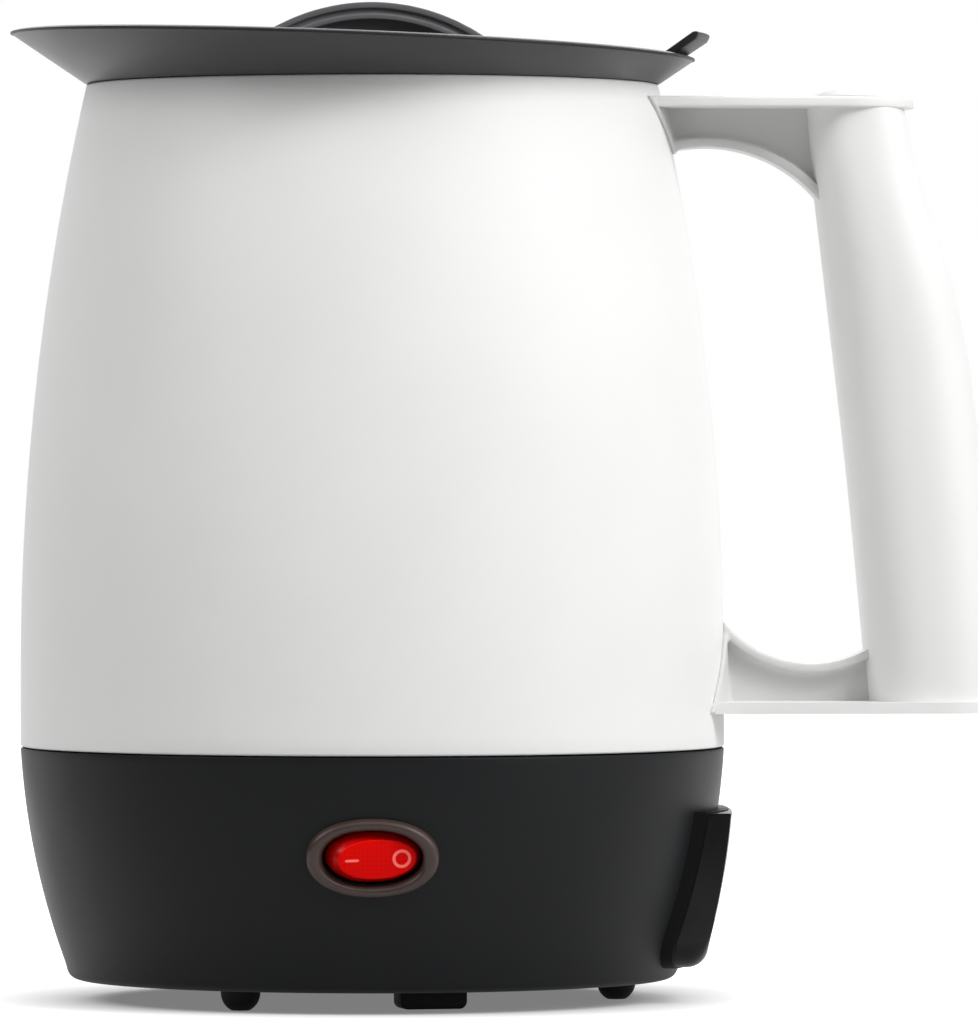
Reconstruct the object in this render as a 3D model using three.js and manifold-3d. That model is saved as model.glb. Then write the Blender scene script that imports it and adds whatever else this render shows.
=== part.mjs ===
// A hot chocolate maker: a white barrel jug on a charcoal base, with a funnel collar, a lift-off lid,
// a side handle, a rocker switch, and the heater, motor and stirrer that it holds inside.
// Millimetres, +Z up, standing on Z = 0. The handle points to +X, the spout to -X, the switch to -Y.
import * as THREE from 'three';
import { mergeVertices } from 'three/addons/utils/BufferGeometryUtils.js';
import Module from 'manifold-3d';

const wasm = await Module();
wasm.setup();

// Driving dimensions. All of them are measured from the jug's axis and from the table top.
const GAP = 0.3;
const FINE = 0.03;
const SHELL_STEPS = 40;
const SMALL_STEPS = 12;

const body = { widest: 75, bulgeZ: 70, bulgeRadius: 560, bottomZ: 53.8, topZ: 194.7, wall: 2.4 };
const base = { widest: 75.265, bulgeZ: 63, bulgeRadius: 160, bottomZ: 4.5, wall: 2.5, edgeRound: 2.5 };
const spigot = { outer: 72.2, wall: 1.8, topZ: 58, floorZ: 50 };
const ledge = { inner: 57, bottomZ: 7.3, topZ: 9.5, rebate: 60.3 };
const plate = { radius: 60, bottomZ: 4.6, topZ: 6.9 };
const foot = { radius: 4.15, ring: 52, flat: 1.9, firstAngle: -122 };
const lug = { width: 14.2, near: 50, far: 57, bottomZ: 0.8, round: 1.6, firstAngle: -77 };
const baseScrew = { ring: 54.5, firstAngle: -35, bossRadius: 4.5, bossTopZ: 20 };

const collar = { slope: 34, wall: 1.4, seatZ: 194.95, bore: 56, throat: 61.5, skirt: 58.2, skirtZ: 191.9 };
const rim = { tilt: 2.23, rightX: 68.7, rightZ: 199.94 };
const vessel = { radius: 56.5, wall: 1, floorZ: 60.3, topZ: 189.8, flange: 58.2, round: 6 };
const vesselNeck = { radius: 7, topZ: 67 };
const vesselLedge = { inner: 57.2, bottomZ: 185.6, topZ: 188.5 };

const lid = { depth: 5.2, wall: 1.6, lift: 0.3, lip: 0.5, overhang: 0.1, notchHalf: 13, notchX: -43 };
const tab = { halfAngle: 17, thick: 1.6, root: 63, reach: 71.9 };
const fin = { radius: 43, topZ: 212.4, seatX: 0.9, thick: 9, web: 3 };
const finBand = { border: 1.4, groove: 1.1, ridge: 1.2, rail: 1.2 };

const topPlate = { bottomZ: 189.7, topZ: 192, halfWidth: 18, endX: 115.5, endRadius: 15.5 };
const lowPlate = { bottomZ: 61.2, topZ: 63.6, halfWidth: 24, endX: 138, endRadius: 18.5 };
const topArch = { x: 71, z: 150.5, radius: 31, flangeHalf: 7, gripX: 96.5 };
const lowArch = { x: 93.5, z: 95.6, radius: 24, flangeHalf: 7.5, gripX: 108 };
const topPad = { wide: 21, narrow: 7, z: 180.2 };
const lowPad = { wide: 24, narrow: 7.5, z: 78 };
const bracket = { web: 4, flange: 2, pad: 0.6, rootX: 50 };
const grip = { topZ: 189.4, bottomZ: 63.9, topHalf: 14, bottomHalf: 16.5, squareness: 2.5 };
const dome = { x: 102.6, radius: 8.3, peakZ: 195.65, wall: 1.3 };
const lowScrewX = 119;

const inlet = { half: 27, topZ: 40.4, bottomZ: 7.7, proud: 3, corner: 4.5, lowRound: 6.5, backX: 48 };
const inletFace = { lean: 0.058, bow: 1.1 };
const inletRoot = { half: 28.8, depth: 2, bottomZ: 7.4, topZ: 41.4, lowRound: 8 };
const socket = { z: 24.7, halfWidth: 12.3, halfHeight: 8.4, wall: 2, backX: 52, frontX: 69, chamfer: 4 };
const blade = { thick: 2, tall: 4, spacing: 14, earthUp: 4, tipX: 72, backX: 46 };

const rocker = { z: 32.9, lean: 12.7, tilt: 10, pivot: -4.5 };
const rockerSection = {
  half: [[8, 4.4], [10.2, 5.6], [9.5, 5.35], [8.35, 4.3], [8, 3.95]],
  height: [-3, 0.5, 3.5, 5.3, 5.8],
};
const bezel = { half: [13.75, 8.35], opening: [10.45, 5.95], front: 1.7, tube: [11.9, 7.2], depth: 15 };

const heater = { plateZ: 56.8, plateTop: 60, plateRadius: 53, plateBore: 14 };
const element = { ring: 38, tube: 3.2, openAngle: 24 };
const motor = { radius: 18, wall: 1.2, topZ: 42, bottomZ: 15, shaft: 1.6, rotor: 11 };
const chassis = { bottomZ: 44.2, topZ: 46.2, radius: 50, bore: 9, earRadius: 62.5 };
const spindle = { radius: 3, bottomZ: 47.4, roundTopZ: 70, topZ: 84, square: 4.6 };
const stirrer = { hubBottomZ: 68.6, hubTopZ: 87, hubRadius: 6.5, reach: 34, tall: 15, thick: 2 };

// Colours, as the object shows them.
const finish = (color, roughness, metalness = 0) =>
  new THREE.MeshStandardMaterial({ color, roughness, metalness });
const white = () => finish(0xf1f1ef, 0.22);
const charcoal = () => finish(0x2b2b2d, 0.42);
const darkGrey = () => finish(0x55565a, 0.4);
const black = () => finish(0x141415, 0.35);
const rubber = () => finish(0x101011, 0.85);
const clearRed = () => finish(0xd0120b, 0.2);
const silicone = () => finish(0xcfcfc8, 0.7);
const steel = () => finish(0xc9ccd0, 0.28, 1);
const zinc = () => finish(0xaeb2b6, 0.4, 1);
const brass = () => finish(0xc7a24f, 0.35, 1);
const aluminium = () => finish(0xd3d5d8, 0.45, 1);
const insulation = (color) => finish(color, 0.55);

// Solids are closed meshes. A geometry becomes one when its shared corners are merged.
function solid(geometry) {
  const bare = geometry.index ? geometry.toNonIndexed() : geometry.clone();
  bare.deleteAttribute('normal');
  bare.deleteAttribute('uv');
  const merged = mergeVertices(bare, 1e-3);
  const corners = [];
  const index = merged.index.array;
  for (let i = 0; i < index.length; i += 3) {
    const [a, b, c] = [index[i], index[i + 1], index[i + 2]];
    if (a !== b && b !== c && c !== a) corners.push(a, b, c);
  }
  if (volumeOf(merged.attributes.position, corners) < 0) corners.reverse();
  const mesh = new wasm.Mesh({
    numProp: 3,
    vertProperties: new Float32Array(merged.attributes.position.array),
    triVerts: new Uint32Array(corners),
  });
  return new wasm.Manifold(mesh);
}

function volumeOf(position, corners) {
  const [a, b, c] = [new THREE.Vector3(), new THREE.Vector3(), new THREE.Vector3()];
  let sum = 0;
  for (let i = 0; i < corners.length; i += 3) {
    a.fromBufferAttribute(position, corners[i]);
    b.fromBufferAttribute(position, corners[i + 1]);
    c.fromBufferAttribute(position, corners[i + 2]);
    sum += a.dot(b.cross(c));
  }
  return sum;
}

function geometryOf(shape) {
  const mesh = shape.simplify(FINE).getMesh();
  const geometry = new THREE.BufferGeometry();
  const position = new Float32Array(mesh.numVert * 3);
  for (let i = 0; i < mesh.numVert; i += 1) {
    for (let k = 0; k < 3; k += 1) position[3 * i + k] = mesh.vertProperties[i * mesh.numProp + k];
  }
  geometry.setAttribute('position', new THREE.BufferAttribute(position, 3));
  geometry.setIndex(new THREE.BufferAttribute(new Uint32Array(mesh.triVerts), 1));
  geometry.computeVertexNormals();
  return geometry;
}

const join = (...shapes) => shapes.reduce((sum, shape) => sum.add(shape));
const cut = (shape, ...tools) => tools.reduce((rest, tool) => rest.subtract(tool), shape);
const overlap = (...shapes) => shapes.reduce((rest, shape) => rest.intersect(shape));
const move = (shape, x, y, z) => shape.translate([x, y, z]);
const turnZ = (shape, degrees) => shape.rotate([0, 0, degrees]);

function part(name, shape, material) {
  const mesh = new THREE.Mesh(geometryOf(shape), material);
  mesh.name = name;
  return mesh;
}

// Basic forms.
const radians = THREE.MathUtils.degToRad;
const polar = (radius, degrees) =>
  [radius * Math.cos(radians(degrees)), radius * Math.sin(radians(degrees))];

function revolve(profile, steps = SHELL_STEPS) {
  const points = profile.map(([r, z]) => new THREE.Vector2(r, z));
  points.push(points[0].clone());
  const geometry = new THREE.LatheGeometry(points, steps);
  geometry.rotateX(Math.PI / 2);
  return solid(geometry);
}

function disc(radius, z0, z1, steps = SMALL_STEPS) {
  return revolve([[0, z0], [radius, z0], [radius, z1], [0, z1]], steps);
}

function ring(inner, outer, z0, z1, steps = SMALL_STEPS) {
  return revolve([[inner, z0], [outer, z0], [outer, z1], [inner, z1]], steps);
}

function block(x0, x1, y0, y1, z0, z1) {
  const geometry = new THREE.BoxGeometry(x1 - x0, y1 - y0, z1 - z0);
  geometry.translate((x0 + x1) / 2, (y0 + y1) / 2, (z0 + z1) / 2);
  return solid(geometry);
}

// A rod along X.
function rodX(radius, x0, x1, y, z, steps = SMALL_STEPS) {
  return move(disc(radius, x0, x1, steps).rotate([0, 90, 0]), 0, y, z);
}

// An outline in plan, raised from z0 to z1.
function raise(outline, z0, z1) {
  const shape = new THREE.Shape(outline.map(([x, y]) => new THREE.Vector2(x, y)));
  const geometry = new THREE.ExtrudeGeometry(shape, { depth: z1 - z0, bevelEnabled: false });
  geometry.translate(0, 0, z0);
  return solid(geometry);
}

// An outline in the XZ plane, drawn out from -half to +half along Y.
function drawOut(outline, half) {
  const shape = new THREE.Shape(outline.map(([x, z]) => new THREE.Vector2(x, z)));
  const geometry = new THREE.ExtrudeGeometry(shape, { depth: 2 * half, bevelEnabled: false });
  geometry.rotateX(Math.PI / 2);
  geometry.translate(0, half, 0);
  return solid(geometry);
}

// A round tube along a smooth curve through the points.
function tube(points, radius, sides, steps) {
  const path = new THREE.CatmullRomCurve3(points.map((p) => new THREE.Vector3(...p)), false, 'centripetal');
  const section = new THREE.Shape(circle(radius, sides).map(([x, y]) => new THREE.Vector2(x, y)));
  return solid(new THREE.ExtrudeGeometry(section, { steps, extrudePath: path, bevelEnabled: false }));
}

function circle(radius, sides, x = 0, y = 0) {
  return arc(radius, 0, 360 - 360 / sides, sides - 1, x, y);
}

function arc(radius, from, to, steps, x = 0, y = 0) {
  const points = [];
  for (let i = 0; i <= steps; i += 1) {
    const [dx, dy] = polar(radius, from + ((to - from) * i) / steps);
    points.push([x + dx, y + dy]);
  }
  return points;
}

// A superellipse: squareness 2 is an ellipse, more is fuller towards the corners.
function oval(halfX, halfY, squareness, sides, x = 0, y = 0) {
  const points = [];
  for (let i = 0; i < sides; i += 1) {
    const angle = (2 * Math.PI * i) / sides;
    const [c, s] = [Math.cos(angle), Math.sin(angle)];
    const dx = halfX * Math.sign(c) * Math.abs(c) ** (2 / squareness);
    const dy = halfY * Math.sign(s) * Math.abs(s) ** (2 / squareness);
    points.push([x + dx, y + dy]);
  }
  return points;
}

// Skins a stack of plan outlines, each at its own height, and closes both ends.
function loft(outlines, heights) {
  const sides = outlines[0].length;
  const position = [];
  outlines.forEach((outline, k) => outline.forEach(([x, y]) => position.push(x, y, heights[k])));
  const index = [];
  for (let k = 0; k + 1 < outlines.length; k += 1) {
    for (let i = 0; i < sides; i += 1) {
      const [a, b] = [k * sides + i, k * sides + ((i + 1) % sides)];
      index.push(a, b, b + sides, a, b + sides, a + sides);
    }
  }
  const last = (outlines.length - 1) * sides;
  for (let i = 1; i + 1 < sides; i += 1) {
    index.push(0, i + 1, i, last, last + i, last + i + 1);
  }
  const geometry = new THREE.BufferGeometry();
  geometry.setAttribute('position', new THREE.Float32BufferAttribute(position, 3));
  geometry.setIndex(index);
  return solid(geometry);
}

// The two shells of revolution: an upright barrel, and a base that curls in to the table.
function bodyRadius(z) {
  const rise = Math.max(0, z - body.bulgeZ);
  return body.widest - body.bulgeRadius + Math.sqrt(body.bulgeRadius ** 2 - rise ** 2);
}

function baseRadius(z) {
  const fall = base.bulgeZ - z;
  return base.widest - base.bulgeRadius + Math.sqrt(base.bulgeRadius ** 2 - fall ** 2);
}

function wallPoints(radiusAt, z0, z1, steps) {
  const points = [];
  for (let i = 0; i <= steps; i += 1) {
    const z = z0 + ((z1 - z0) * i) / steps;
    points.push([radiusAt(z), z]);
  }
  return points;
}

function filled(radiusAt, grow, z0, z1) {
  const wall = wallPoints((z) => radiusAt(z) + grow, z0, z1, 6);
  return revolve([[0, z0], ...wall, [0, z1]]);
}

const bodySolid = (grow) => filled(bodyRadius, grow, body.bottomZ, body.topZ);
const baseSolid = (grow) => filled(baseRadius, grow, base.bottomZ, body.bottomZ);

function bodyShell() {
  const underLedge = vesselLedge.bottomZ - 2;
  const inner = (z) => bodyRadius(z) - body.wall;
  const shell = revolve([
    ...wallPoints(bodyRadius, body.bottomZ + GAP / 2, body.topZ, 6),
    [inner(body.topZ), body.topZ],
    [inner(vesselLedge.topZ), vesselLedge.topZ],
    [vesselLedge.inner, vesselLedge.topZ],
    [vesselLedge.inner, vesselLedge.bottomZ + 1],
    ...wallPoints(inner, underLedge, body.bottomZ + GAP / 2, 5),
  ]);
  const notchTop = vesselLedge.topZ + 1;
  const headNotch = block(vesselLedge.inner - 2, inner(upperScrew.z), -4, 4, underLedge - 1, notchTop);
  return cut(shell, headNotch, screwHole(upperScrew), screwHole(lowerScrew));
}

// The screws that hold the handle's brackets, put in from inside the body.
const upperScrew = { z: 185.4, end: 74 };
const lowerScrew = { z: 69.6, end: 88 };
const bracketScrew = { radius: 1.5, head: 2.7, headTall: 1.8 };

const screwHole = ({ z, end }) => rodX(bracketScrew.radius + GAP, 50, end + GAP, 0, z, 8);

function handleScrew({ z, end }) {
  const seat = bodyRadius(z) - body.wall - GAP;
  const head = rodX(bracketScrew.head, seat - bracketScrew.headTall, seat, 0, z, 12);
  return join(head, rodX(bracketScrew.radius, seat - 1, end, 0, z, 8));
}

function baseShell() {
  const inner = (z) => baseRadius(z) - base.wall;
  const foot0 = base.bottomZ + base.edgeRound;
  const edge = arc(base.edgeRound, -12, -90, 2, baseRadius(foot0) - base.edgeRound, foot0);
  const top = body.bottomZ - GAP / 2;
  const shell = revolve([
    ...edge.reverse(),
    ...wallPoints(baseRadius, foot0 + 1, top, 5),
    [spigot.outer, top],
    [spigot.outer, spigot.topZ],
    [spigot.outer - spigot.wall, spigot.topZ],
    [spigot.outer - spigot.wall, spigot.floorZ],
    ...wallPoints(inner, spigot.floorZ - 3, ledge.topZ, 2),
    [ledge.inner, ledge.topZ],
    [ledge.inner, ledge.bottomZ],
    [ledge.rebate, ledge.bottomZ],
    [ledge.rebate, base.bottomZ],
  ]);
  const posts = join(...screwAngles.map(screwBoss), ...thirds(ear.firstAngle).map(earPost));
  const grown = join(shell, overlap(posts, baseSolid(-1)));
  const bores = atScrews(disc(1.5, 5, 18, 8));
  const cups = atScrews(disc(cup.radius + GAP, 4, cup.topZ + GAP, 12));
  const earBores = thirds(ear.firstAngle).map((a) => at(disc(1.5, 39, 45, 8), chassis.earRadius, a));
  return cut(grown, ...bores, ...cups, ...earBores, inletWindow(), switchWindow());
}

const thirds = (first) => [first, first + 120, first + 240];
const at = (shape, radius, degrees) => turnZ(move(shape, radius, 0, 0), degrees);
const cup = { radius: 5, topZ: 8.7, floorZ: 6.9, pocket: 3.8 };
const ear = { firstAngle: -60, width: 10, reach: 66 };

const screwAngles = thirds(baseScrew.firstAngle);
const atScrews = (shape) => screwAngles.map((degrees) => at(shape, baseScrew.ring, degrees));
const screwBoss = (degrees) =>
  at(disc(baseScrew.bossRadius, ledge.bottomZ, baseScrew.bossTopZ, 10), baseScrew.ring, degrees);
const earPost = (degrees) => {
  const half = ear.width / 2;
  return turnZ(block(chassis.earRadius - 4, 74, -half, half, 36, chassis.bottomZ - GAP), degrees);
};

// The bottom plate closes the base from below. Its catches stand just clear of the table.
function bottomPlate() {
  const panel = disc(plate.radius, plate.bottomZ, plate.topZ, 32);
  const cups = atScrews(disc(cup.radius, plate.bottomZ, cup.topZ, 12));
  const catches = thirds(lug.firstAngle).map((a) => turnZ(catchLug(), a));
  const standoff = disc(2.4, plate.topZ - 1, board.bottomZ - GAP, 8);
  const standoffs = board.posts.map(([x, y]) => move(standoff, x, y, 0));
  const pockets = atScrews(disc(cup.pocket, 4, cup.floorZ, 12));
  const holes = atScrews(disc(1.9, 4, 10, 8));
  const footHole = disc(footStem.radius + GAP, 4, 8, 8);
  const footHoles = thirds(foot.firstAngle).map((a) => at(footHole, foot.ring, a));
  return cut(join(panel, ...cups, ...catches, ...standoffs), ...pockets, ...holes, ...footHoles);
}

// A flat catch with its two lower corners rounded, drawn out along the radius.
function catchLug() {
  const half = lug.width / 2;
  const [r, z] = [lug.round, lug.bottomZ + lug.round];
  const outline = [
    [-half, plate.bottomZ + 1],
    ...arc(r, 180, 270, 4, -half + r, z),
    ...arc(r, 270, 360, 4, half - r, z),
    [half, plate.bottomZ + 1],
  ];
  const depth = (lug.far - lug.near) / 2;
  return move(turnZ(drawOut(outline, depth), 90), lug.near + depth, 0, 0);
}

// A moulded rubber foot: a dome with a small flat, and a stem with a barb that snaps through the plate.
const footStem = { radius: 2.4, barb: 3.6, barbZ: 7.2, topZ: 8.4 };

function rubberFoot() {
  const shoulder = plate.bottomZ - GAP;
  const edgeAngle = THREE.MathUtils.radToDeg(Math.acos(foot.flat / foot.radius));
  const centreZ = foot.radius * Math.sin(radians(edgeAngle));
  const domeEdge = arc(foot.radius, -edgeAngle, 0, 3, 0, centreZ);
  return revolve([
    [0, 0],
    ...domeEdge,
    [foot.radius, shoulder],
    [footStem.radius, shoulder],
    [footStem.radius, footStem.barbZ],
    [footStem.barb, footStem.barbZ],
    [footStem.radius, footStem.topZ],
    [0, footStem.topZ],
  ], 12);
}

function baseScrewShape() {
  return join(disc(3.2, cup.floorZ - 2, cup.floorZ - GAP, 10), disc(1.2, cup.floorZ - 1, 16, 6));
}

// The funnel: a cone at a steady slope, cut off by a plane that rises towards the spout.
const slope = Math.tan(radians(collar.slope));
const coneRoot = bodyRadius(body.topZ);
const raised = (lift) => lift / Math.cos(radians(collar.slope));
const coneZ = (radius, lift) => body.topZ + (radius - coneRoot) * slope + raised(lift);
const coneRadius = (z, lift) => coneRoot + (z - body.topZ - raised(lift)) / slope;
const coneTopZ = 215;
const shelfDrop = 0.5;

// Everything above the rim's plane, or above a plane parallel to it and lower by drop.
function aboveRim(drop) {
  const slab = block(-250, 250, -150, 150, 0, 80).rotate([0, rim.tilt, 0]);
  return move(slab, rim.rightX, 0, rim.rightZ - drop);
}

function funnelCollar() {
  const shelfZ = coneZ(collar.throat, collar.wall);
  const funnel = revolve([
    [collar.bore, collar.skirtZ],
    [collar.skirt, collar.skirtZ],
    [collar.skirt, collar.seatZ],
    [coneRadius(collar.seatZ, 0), collar.seatZ],
    [coneRadius(coneTopZ, 0), coneTopZ],
    [coneRadius(coneTopZ, collar.wall), coneTopZ],
    [collar.throat, shelfZ],
    [collar.bore, shelfZ - shelfDrop],
  ]);
  return cut(funnel, aboveRim(0));
}

// What fits in the funnel, at the given distance from its inner face.
function funnelCore(clear, steps = SHELL_STEPS) {
  const lift = collar.wall + clear;
  const bore = collar.bore - clear;
  const throat = collar.throat - clear;
  return revolve([
    [0, collar.skirtZ - 4],
    [bore, collar.skirtZ - 4],
    [bore, coneZ(throat, lift) - shelfDrop],
    [throat, coneZ(throat, lift)],
    [coneRadius(coneTopZ, lift), coneTopZ],
    [0, coneTopZ],
  ], steps);
}

// The lid is a shallow dish in the funnel, with a lip over the rim and a tab over the handle.
// It is open under the lip at the spout.
function lidDish() {
  const core = cut(funnelCore(GAP), aboveRim(-lid.lift - lid.lip));
  const dish = overlap(core, aboveRim(lid.depth + lid.wall));
  const hollow = overlap(funnelCore(GAP + lid.wall), aboveRim(lid.depth));
  const { notchX, notchHalf } = lid;
  const spoutGap = cut(block(-90, notchX, -notchHalf, notchHalf, 180, 220), aboveRim(-lid.lift));
  return join(cut(join(cut(dish, spoutGap), lidLip()), hollow), thumbTab());
}

// The rim is a slanting section of the cone, so it is all but a circle, off the jug's axis.
const rimLean = Math.tan(radians(rim.tilt)) / slope;
const rimFarX = (-rim.rightX * (1 + rimLean)) / (1 - rimLean);
const rimMiddleX = (rim.rightX + rimFarX) / 2;
const rimRadius = (rim.rightX - rimFarX) / 2;

function lidLip() {
  const radius = rimRadius + lid.overhang;
  const { lift } = lid;
  const top = lift + lid.lip;
  const lip = revolve([
    [0, lift],
    [radius, lift],
    [radius, lift + 0.15],
    [radius - 1.2, top],
    [0, top],
  ]);
  return move(lip.rotate([0, rim.tilt, 0]), rimMiddleX, 0, rimZ(rimMiddleX));
}

function thumbTab() {
  const low = collar.wall + GAP;
  const high = low + tab.thick;
  const { root } = tab;
  const tip = tab.reach - tab.thick * Math.sin(radians(collar.slope)) / 2;
  const band = revolve([
    [root, coneZ(root, low)],
    [tab.reach - 0.5, coneZ(tab.reach - 0.5, low)],
    [tab.reach + 0.1, coneZ(tab.reach, low + 0.7)],
    [tip, coneZ(tip, high - 0.3)],
    [tip - 0.8, coneZ(tip - 0.8, high)],
    [root, coneZ(root, high)],
  ]);
  const sector = raise([[0, 0], ...arc(100, -tab.halfAngle, tab.halfAngle, 4)], 180, 230);
  return overlap(band, sector);
}

// The lid's grip: an arched fin whose side faces step down in nested bands.
function lidGrip() {
  const seat = rimZ(0) - lid.depth + GAP;
  const centre = fin.topZ - fin.radius;
  const segment = (radius, floor, half) => {
    const end = THREE.MathUtils.radToDeg(Math.asin((floor - centre) / radius));
    return drawOut(arc(radius, end, 180 - end, 14, 0, centre), half);
  };
  const half = fin.thick / 2;
  const rings = [fin.radius - finBand.border, fin.radius - finBand.border - finBand.groove];
  const pocketRadius = rings[1] - finBand.ridge;
  const groove = cut(segment(rings[0], seat - 3, half + 1), segment(rings[1], seat - 4, half + 2));
  const pocket = segment(pocketRadius, seat + finBand.rail, half + 1);
  const core = segment(fin.radius - 0.5, seat + GAP, half - finBand.groove);
  const web = segment(fin.radius - 0.5, seat + GAP, fin.web / 2);
  const arch = cut(segment(fin.radius, seat, half), cut(groove, core), cut(pocket, web));
  return move(move(arch, 0, 0, -seat).rotate([0, rim.tilt, 0]), fin.seatX, 0, seat);
}

const rimZ = (x) => rim.rightZ + (rim.rightX - x) * Math.tan(radians(rim.tilt));

// The steel vessel hangs by its flange, with a neck in its floor for the drive.
function innerVessel() {
  const inside = vessel.radius - vessel.wall;
  const floorTop = vessel.floorZ + vessel.wall;
  const neckInner = vesselNeck.radius - vessel.wall;
  const { radius, floorZ, round, topZ, flange, wall } = vessel;
  return revolve([
    [neckInner, floorZ],
    ...arc(round, -90, 0, 3, radius - round, floorZ + round),
    [radius, topZ - wall],
    [flange, topZ - wall],
    [flange, topZ],
    [inside, topZ],
    ...arc(round - wall, 0, -90, 3, radius - round, floorZ + round),
    [vesselNeck.radius, floorTop],
    [vesselNeck.radius, vesselNeck.topZ],
    [neckInner, vesselNeck.topZ],
  ], 28);
}

const vesselGasket = () =>
  ring(vessel.radius - 0.5, vessel.flange, vessel.topZ + GAP, collar.skirtZ - GAP, 24);

// The handle. Its two brackets hug the body and carry the grip between them.
const gripEdge = {
  z: [63, 109, 149, 171, 190],
  inner: [105.7, 101.4, 96.8, 94.1, 93.7],
  outer: [134.8, 130.6, 124.6, 117.9, 113.3],
};

const edgeAt = (edge, z) =>
  new THREE.CubicInterpolant(gripEdge.z, gripEdge[edge], 1, new Float32Array(1)).evaluate(z)[0];

function gripColumn(grow = 0, levels = 9) {
  const outlines = [];
  const heights = [];
  for (let i = 0; i <= levels; i += 1) {
    const share = i / levels;
    const z = grip.bottomZ + (grip.topZ - grip.bottomZ) * share;
    const [inner, outer] = [edgeAt('inner', z), edgeAt('outer', z)];
    const halfY = grip.bottomHalf + (grip.topHalf - grip.bottomHalf) * share;
    outlines.push(oval((outer - inner) / 2 + grow, halfY + grow, grip.squareness, 24, (inner + outer) / 2));
    heights.push(z);
  }
  return loft(outlines, heights);
}

const gripScrew = { radius: 2, bore: 2.4, deep: 15, head: 4, headTall: 1.2 };

function handleGrip() {
  const topBore = move(disc(gripScrew.bore, grip.topZ - gripScrew.deep, grip.topZ + 1, 12), dome.x, 0, 0);
  const lowEnd = grip.bottomZ + gripScrew.deep;
  const lowBore = move(disc(gripScrew.bore, grip.bottomZ - 1, lowEnd, 12), lowScrewX, 0, 0);
  return cut(gripColumn(), topBore, lowBore);
}

function gripScrewShape() {
  const head = disc(gripScrew.head, 0, gripScrew.headTall, 16);
  return join(head, disc(gripScrew.radius, -gripScrew.deep, 0.5, 12));
}

// A plate with a round far end, seen in plan.
function tonguePlate({ bottomZ, topZ, halfWidth, endX, endRadius }) {
  const outline = [
    [bracket.rootX, -halfWidth],
    ...arc(endRadius, -86, 86, 14, endX - endRadius),
    [bracket.rootX, halfWidth],
  ];
  return raise(outline, bottomZ, topZ);
}

// An outline in the YZ plane, drawn out along X.
const alongX = (outline, x0, x1) => raise(outline, x0, x1).rotate([90, 0, 90]);

// A thin skin against the body behind a bracket. It narrows from the plate to the root of the arch.
function bracketPad({ wide, narrow, z }, plateZ) {
  const outline = [[-wide, plateZ], [wide, plateZ], [narrow, z], [-narrow, z]];
  return overlap(bodySolid(GAP + bracket.pad), alongX(outline, 40, 90));
}

// The curved flange that edges a bracket's web.
function archFlange({ x, z, radius, flangeHalf }, inner, from, to) {
  return drawOut([...inner, ...arc(radius + bracket.flange, to, from, 12, x, z)], flangeHalf);
}

function upperBracket() {
  const { x, z, radius } = topArch;
  const under = arc(radius, 36, 136, 12, x, z);
  const webTop = topPlate.topZ - 1;
  const web = drawOut([...under, [bracket.rootX, webTop], [topArch.gripX, webTop]], bracket.web);
  const flange = archFlange(topArch, under, 36, 136);
  const whole = join(tonguePlate(topPlate), web, flange, bracketPad(topPad, topPlate.topZ));
  const capHole = move(disc(gripScrew.bore, 180, 200, 12), dome.x, 0, 0);
  return cut(whole, bodySolid(GAP), gripColumn(GAP), capHole, screwHole(upperScrew));
}

function lowerBracket() {
  const { x, z, radius } = lowArch;
  const over = arc(radius, -142, -52, 12, x, z);
  const webFoot = lowPlate.bottomZ + 1;
  const web = drawOut([...over, [lowArch.gripX, webFoot], [70, webFoot], [70, lowPad.z]], bracket.web);
  const flange = archFlange(lowArch, over, -142, -52);
  const whole = join(tonguePlate(lowPlate), web, flange, bracketPad(lowPad, lowPlate.bottomZ));
  const screwWay = move(disc(gripScrew.bore, 55, 70, 12), lowScrewX, 0, 0);
  const headSeat = lowPlate.bottomZ + gripScrew.headTall + GAP;
  const headWay = move(disc(gripScrew.head + GAP, 55, headSeat, 16), lowScrewX, 0, 0);
  return cut(whole, bodySolid(GAP), gripColumn(GAP), screwWay, headWay, screwHole(lowerScrew));
}

// A low hollow dome that covers the head of the grip's upper screw.
function domeCap() {
  const seat = topPlate.topZ + GAP;
  const height = dome.peakZ - seat;
  const outside = [];
  for (let i = 0; i <= 4; i += 1) {
    const angle = (Math.PI / 2) * (i / 4);
    outside.push([dome.radius * Math.cos(angle), seat + height * Math.sin(angle) ** 1.1]);
  }
  const inner = dome.radius - dome.wall - 0.8;
  return revolve([
    ...outside,
    [0, dome.peakZ - dome.wall],
    [inner * 0.75, dome.peakZ - dome.wall],
    [inner, dome.peakZ - dome.wall - 0.9],
    [inner, seat],
  ], 20);
}

// The power inlet: a black block on the base, a little bowed across, that holds the socket for the lead.
function inletOutline(y) {
  const bow = inletFace.bow * (y / inlet.half) ** 2;
  const outerX = (z) => baseRadius(z) + inlet.proud + (inlet.topZ - z) * inletFace.lean - bow;
  const floorZ = inlet.bottomZ + lowRise(inlet, y);
  const cornerZ = floorZ + inlet.corner;
  const face = wallPoints(outerX, inlet.topZ, cornerZ, 5);
  const corner = arc(inlet.corner, -6, -90, 5, outerX(cornerZ) - inlet.corner, cornerZ);
  return [[inlet.backX, floorZ], ...corner.reverse(), ...face.reverse(), [inlet.backX, inlet.topZ]];
}

// How far the two rounded lower corners lift the under side, at a place across the inlet.
function lowRise({ half, lowRound }, y) {
  const inset = Math.max(0, Math.abs(y) - half + lowRound);
  return lowRound - Math.sqrt(Math.max(0, lowRound ** 2 - inset ** 2));
}

function inletPlaces({ half, lowRound }) {
  const right = [0, 30, 60, 90].map((angle) => half - lowRound * (1 - Math.sin(radians(angle))));
  return [...right.map((y) => -y).reverse(), 0, ...right];
}

const inletBlock = () => loft(inletPlaces(inlet).map(inletOutline), inletPlaces(inlet)).rotate([90, 0, 0]);

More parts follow.
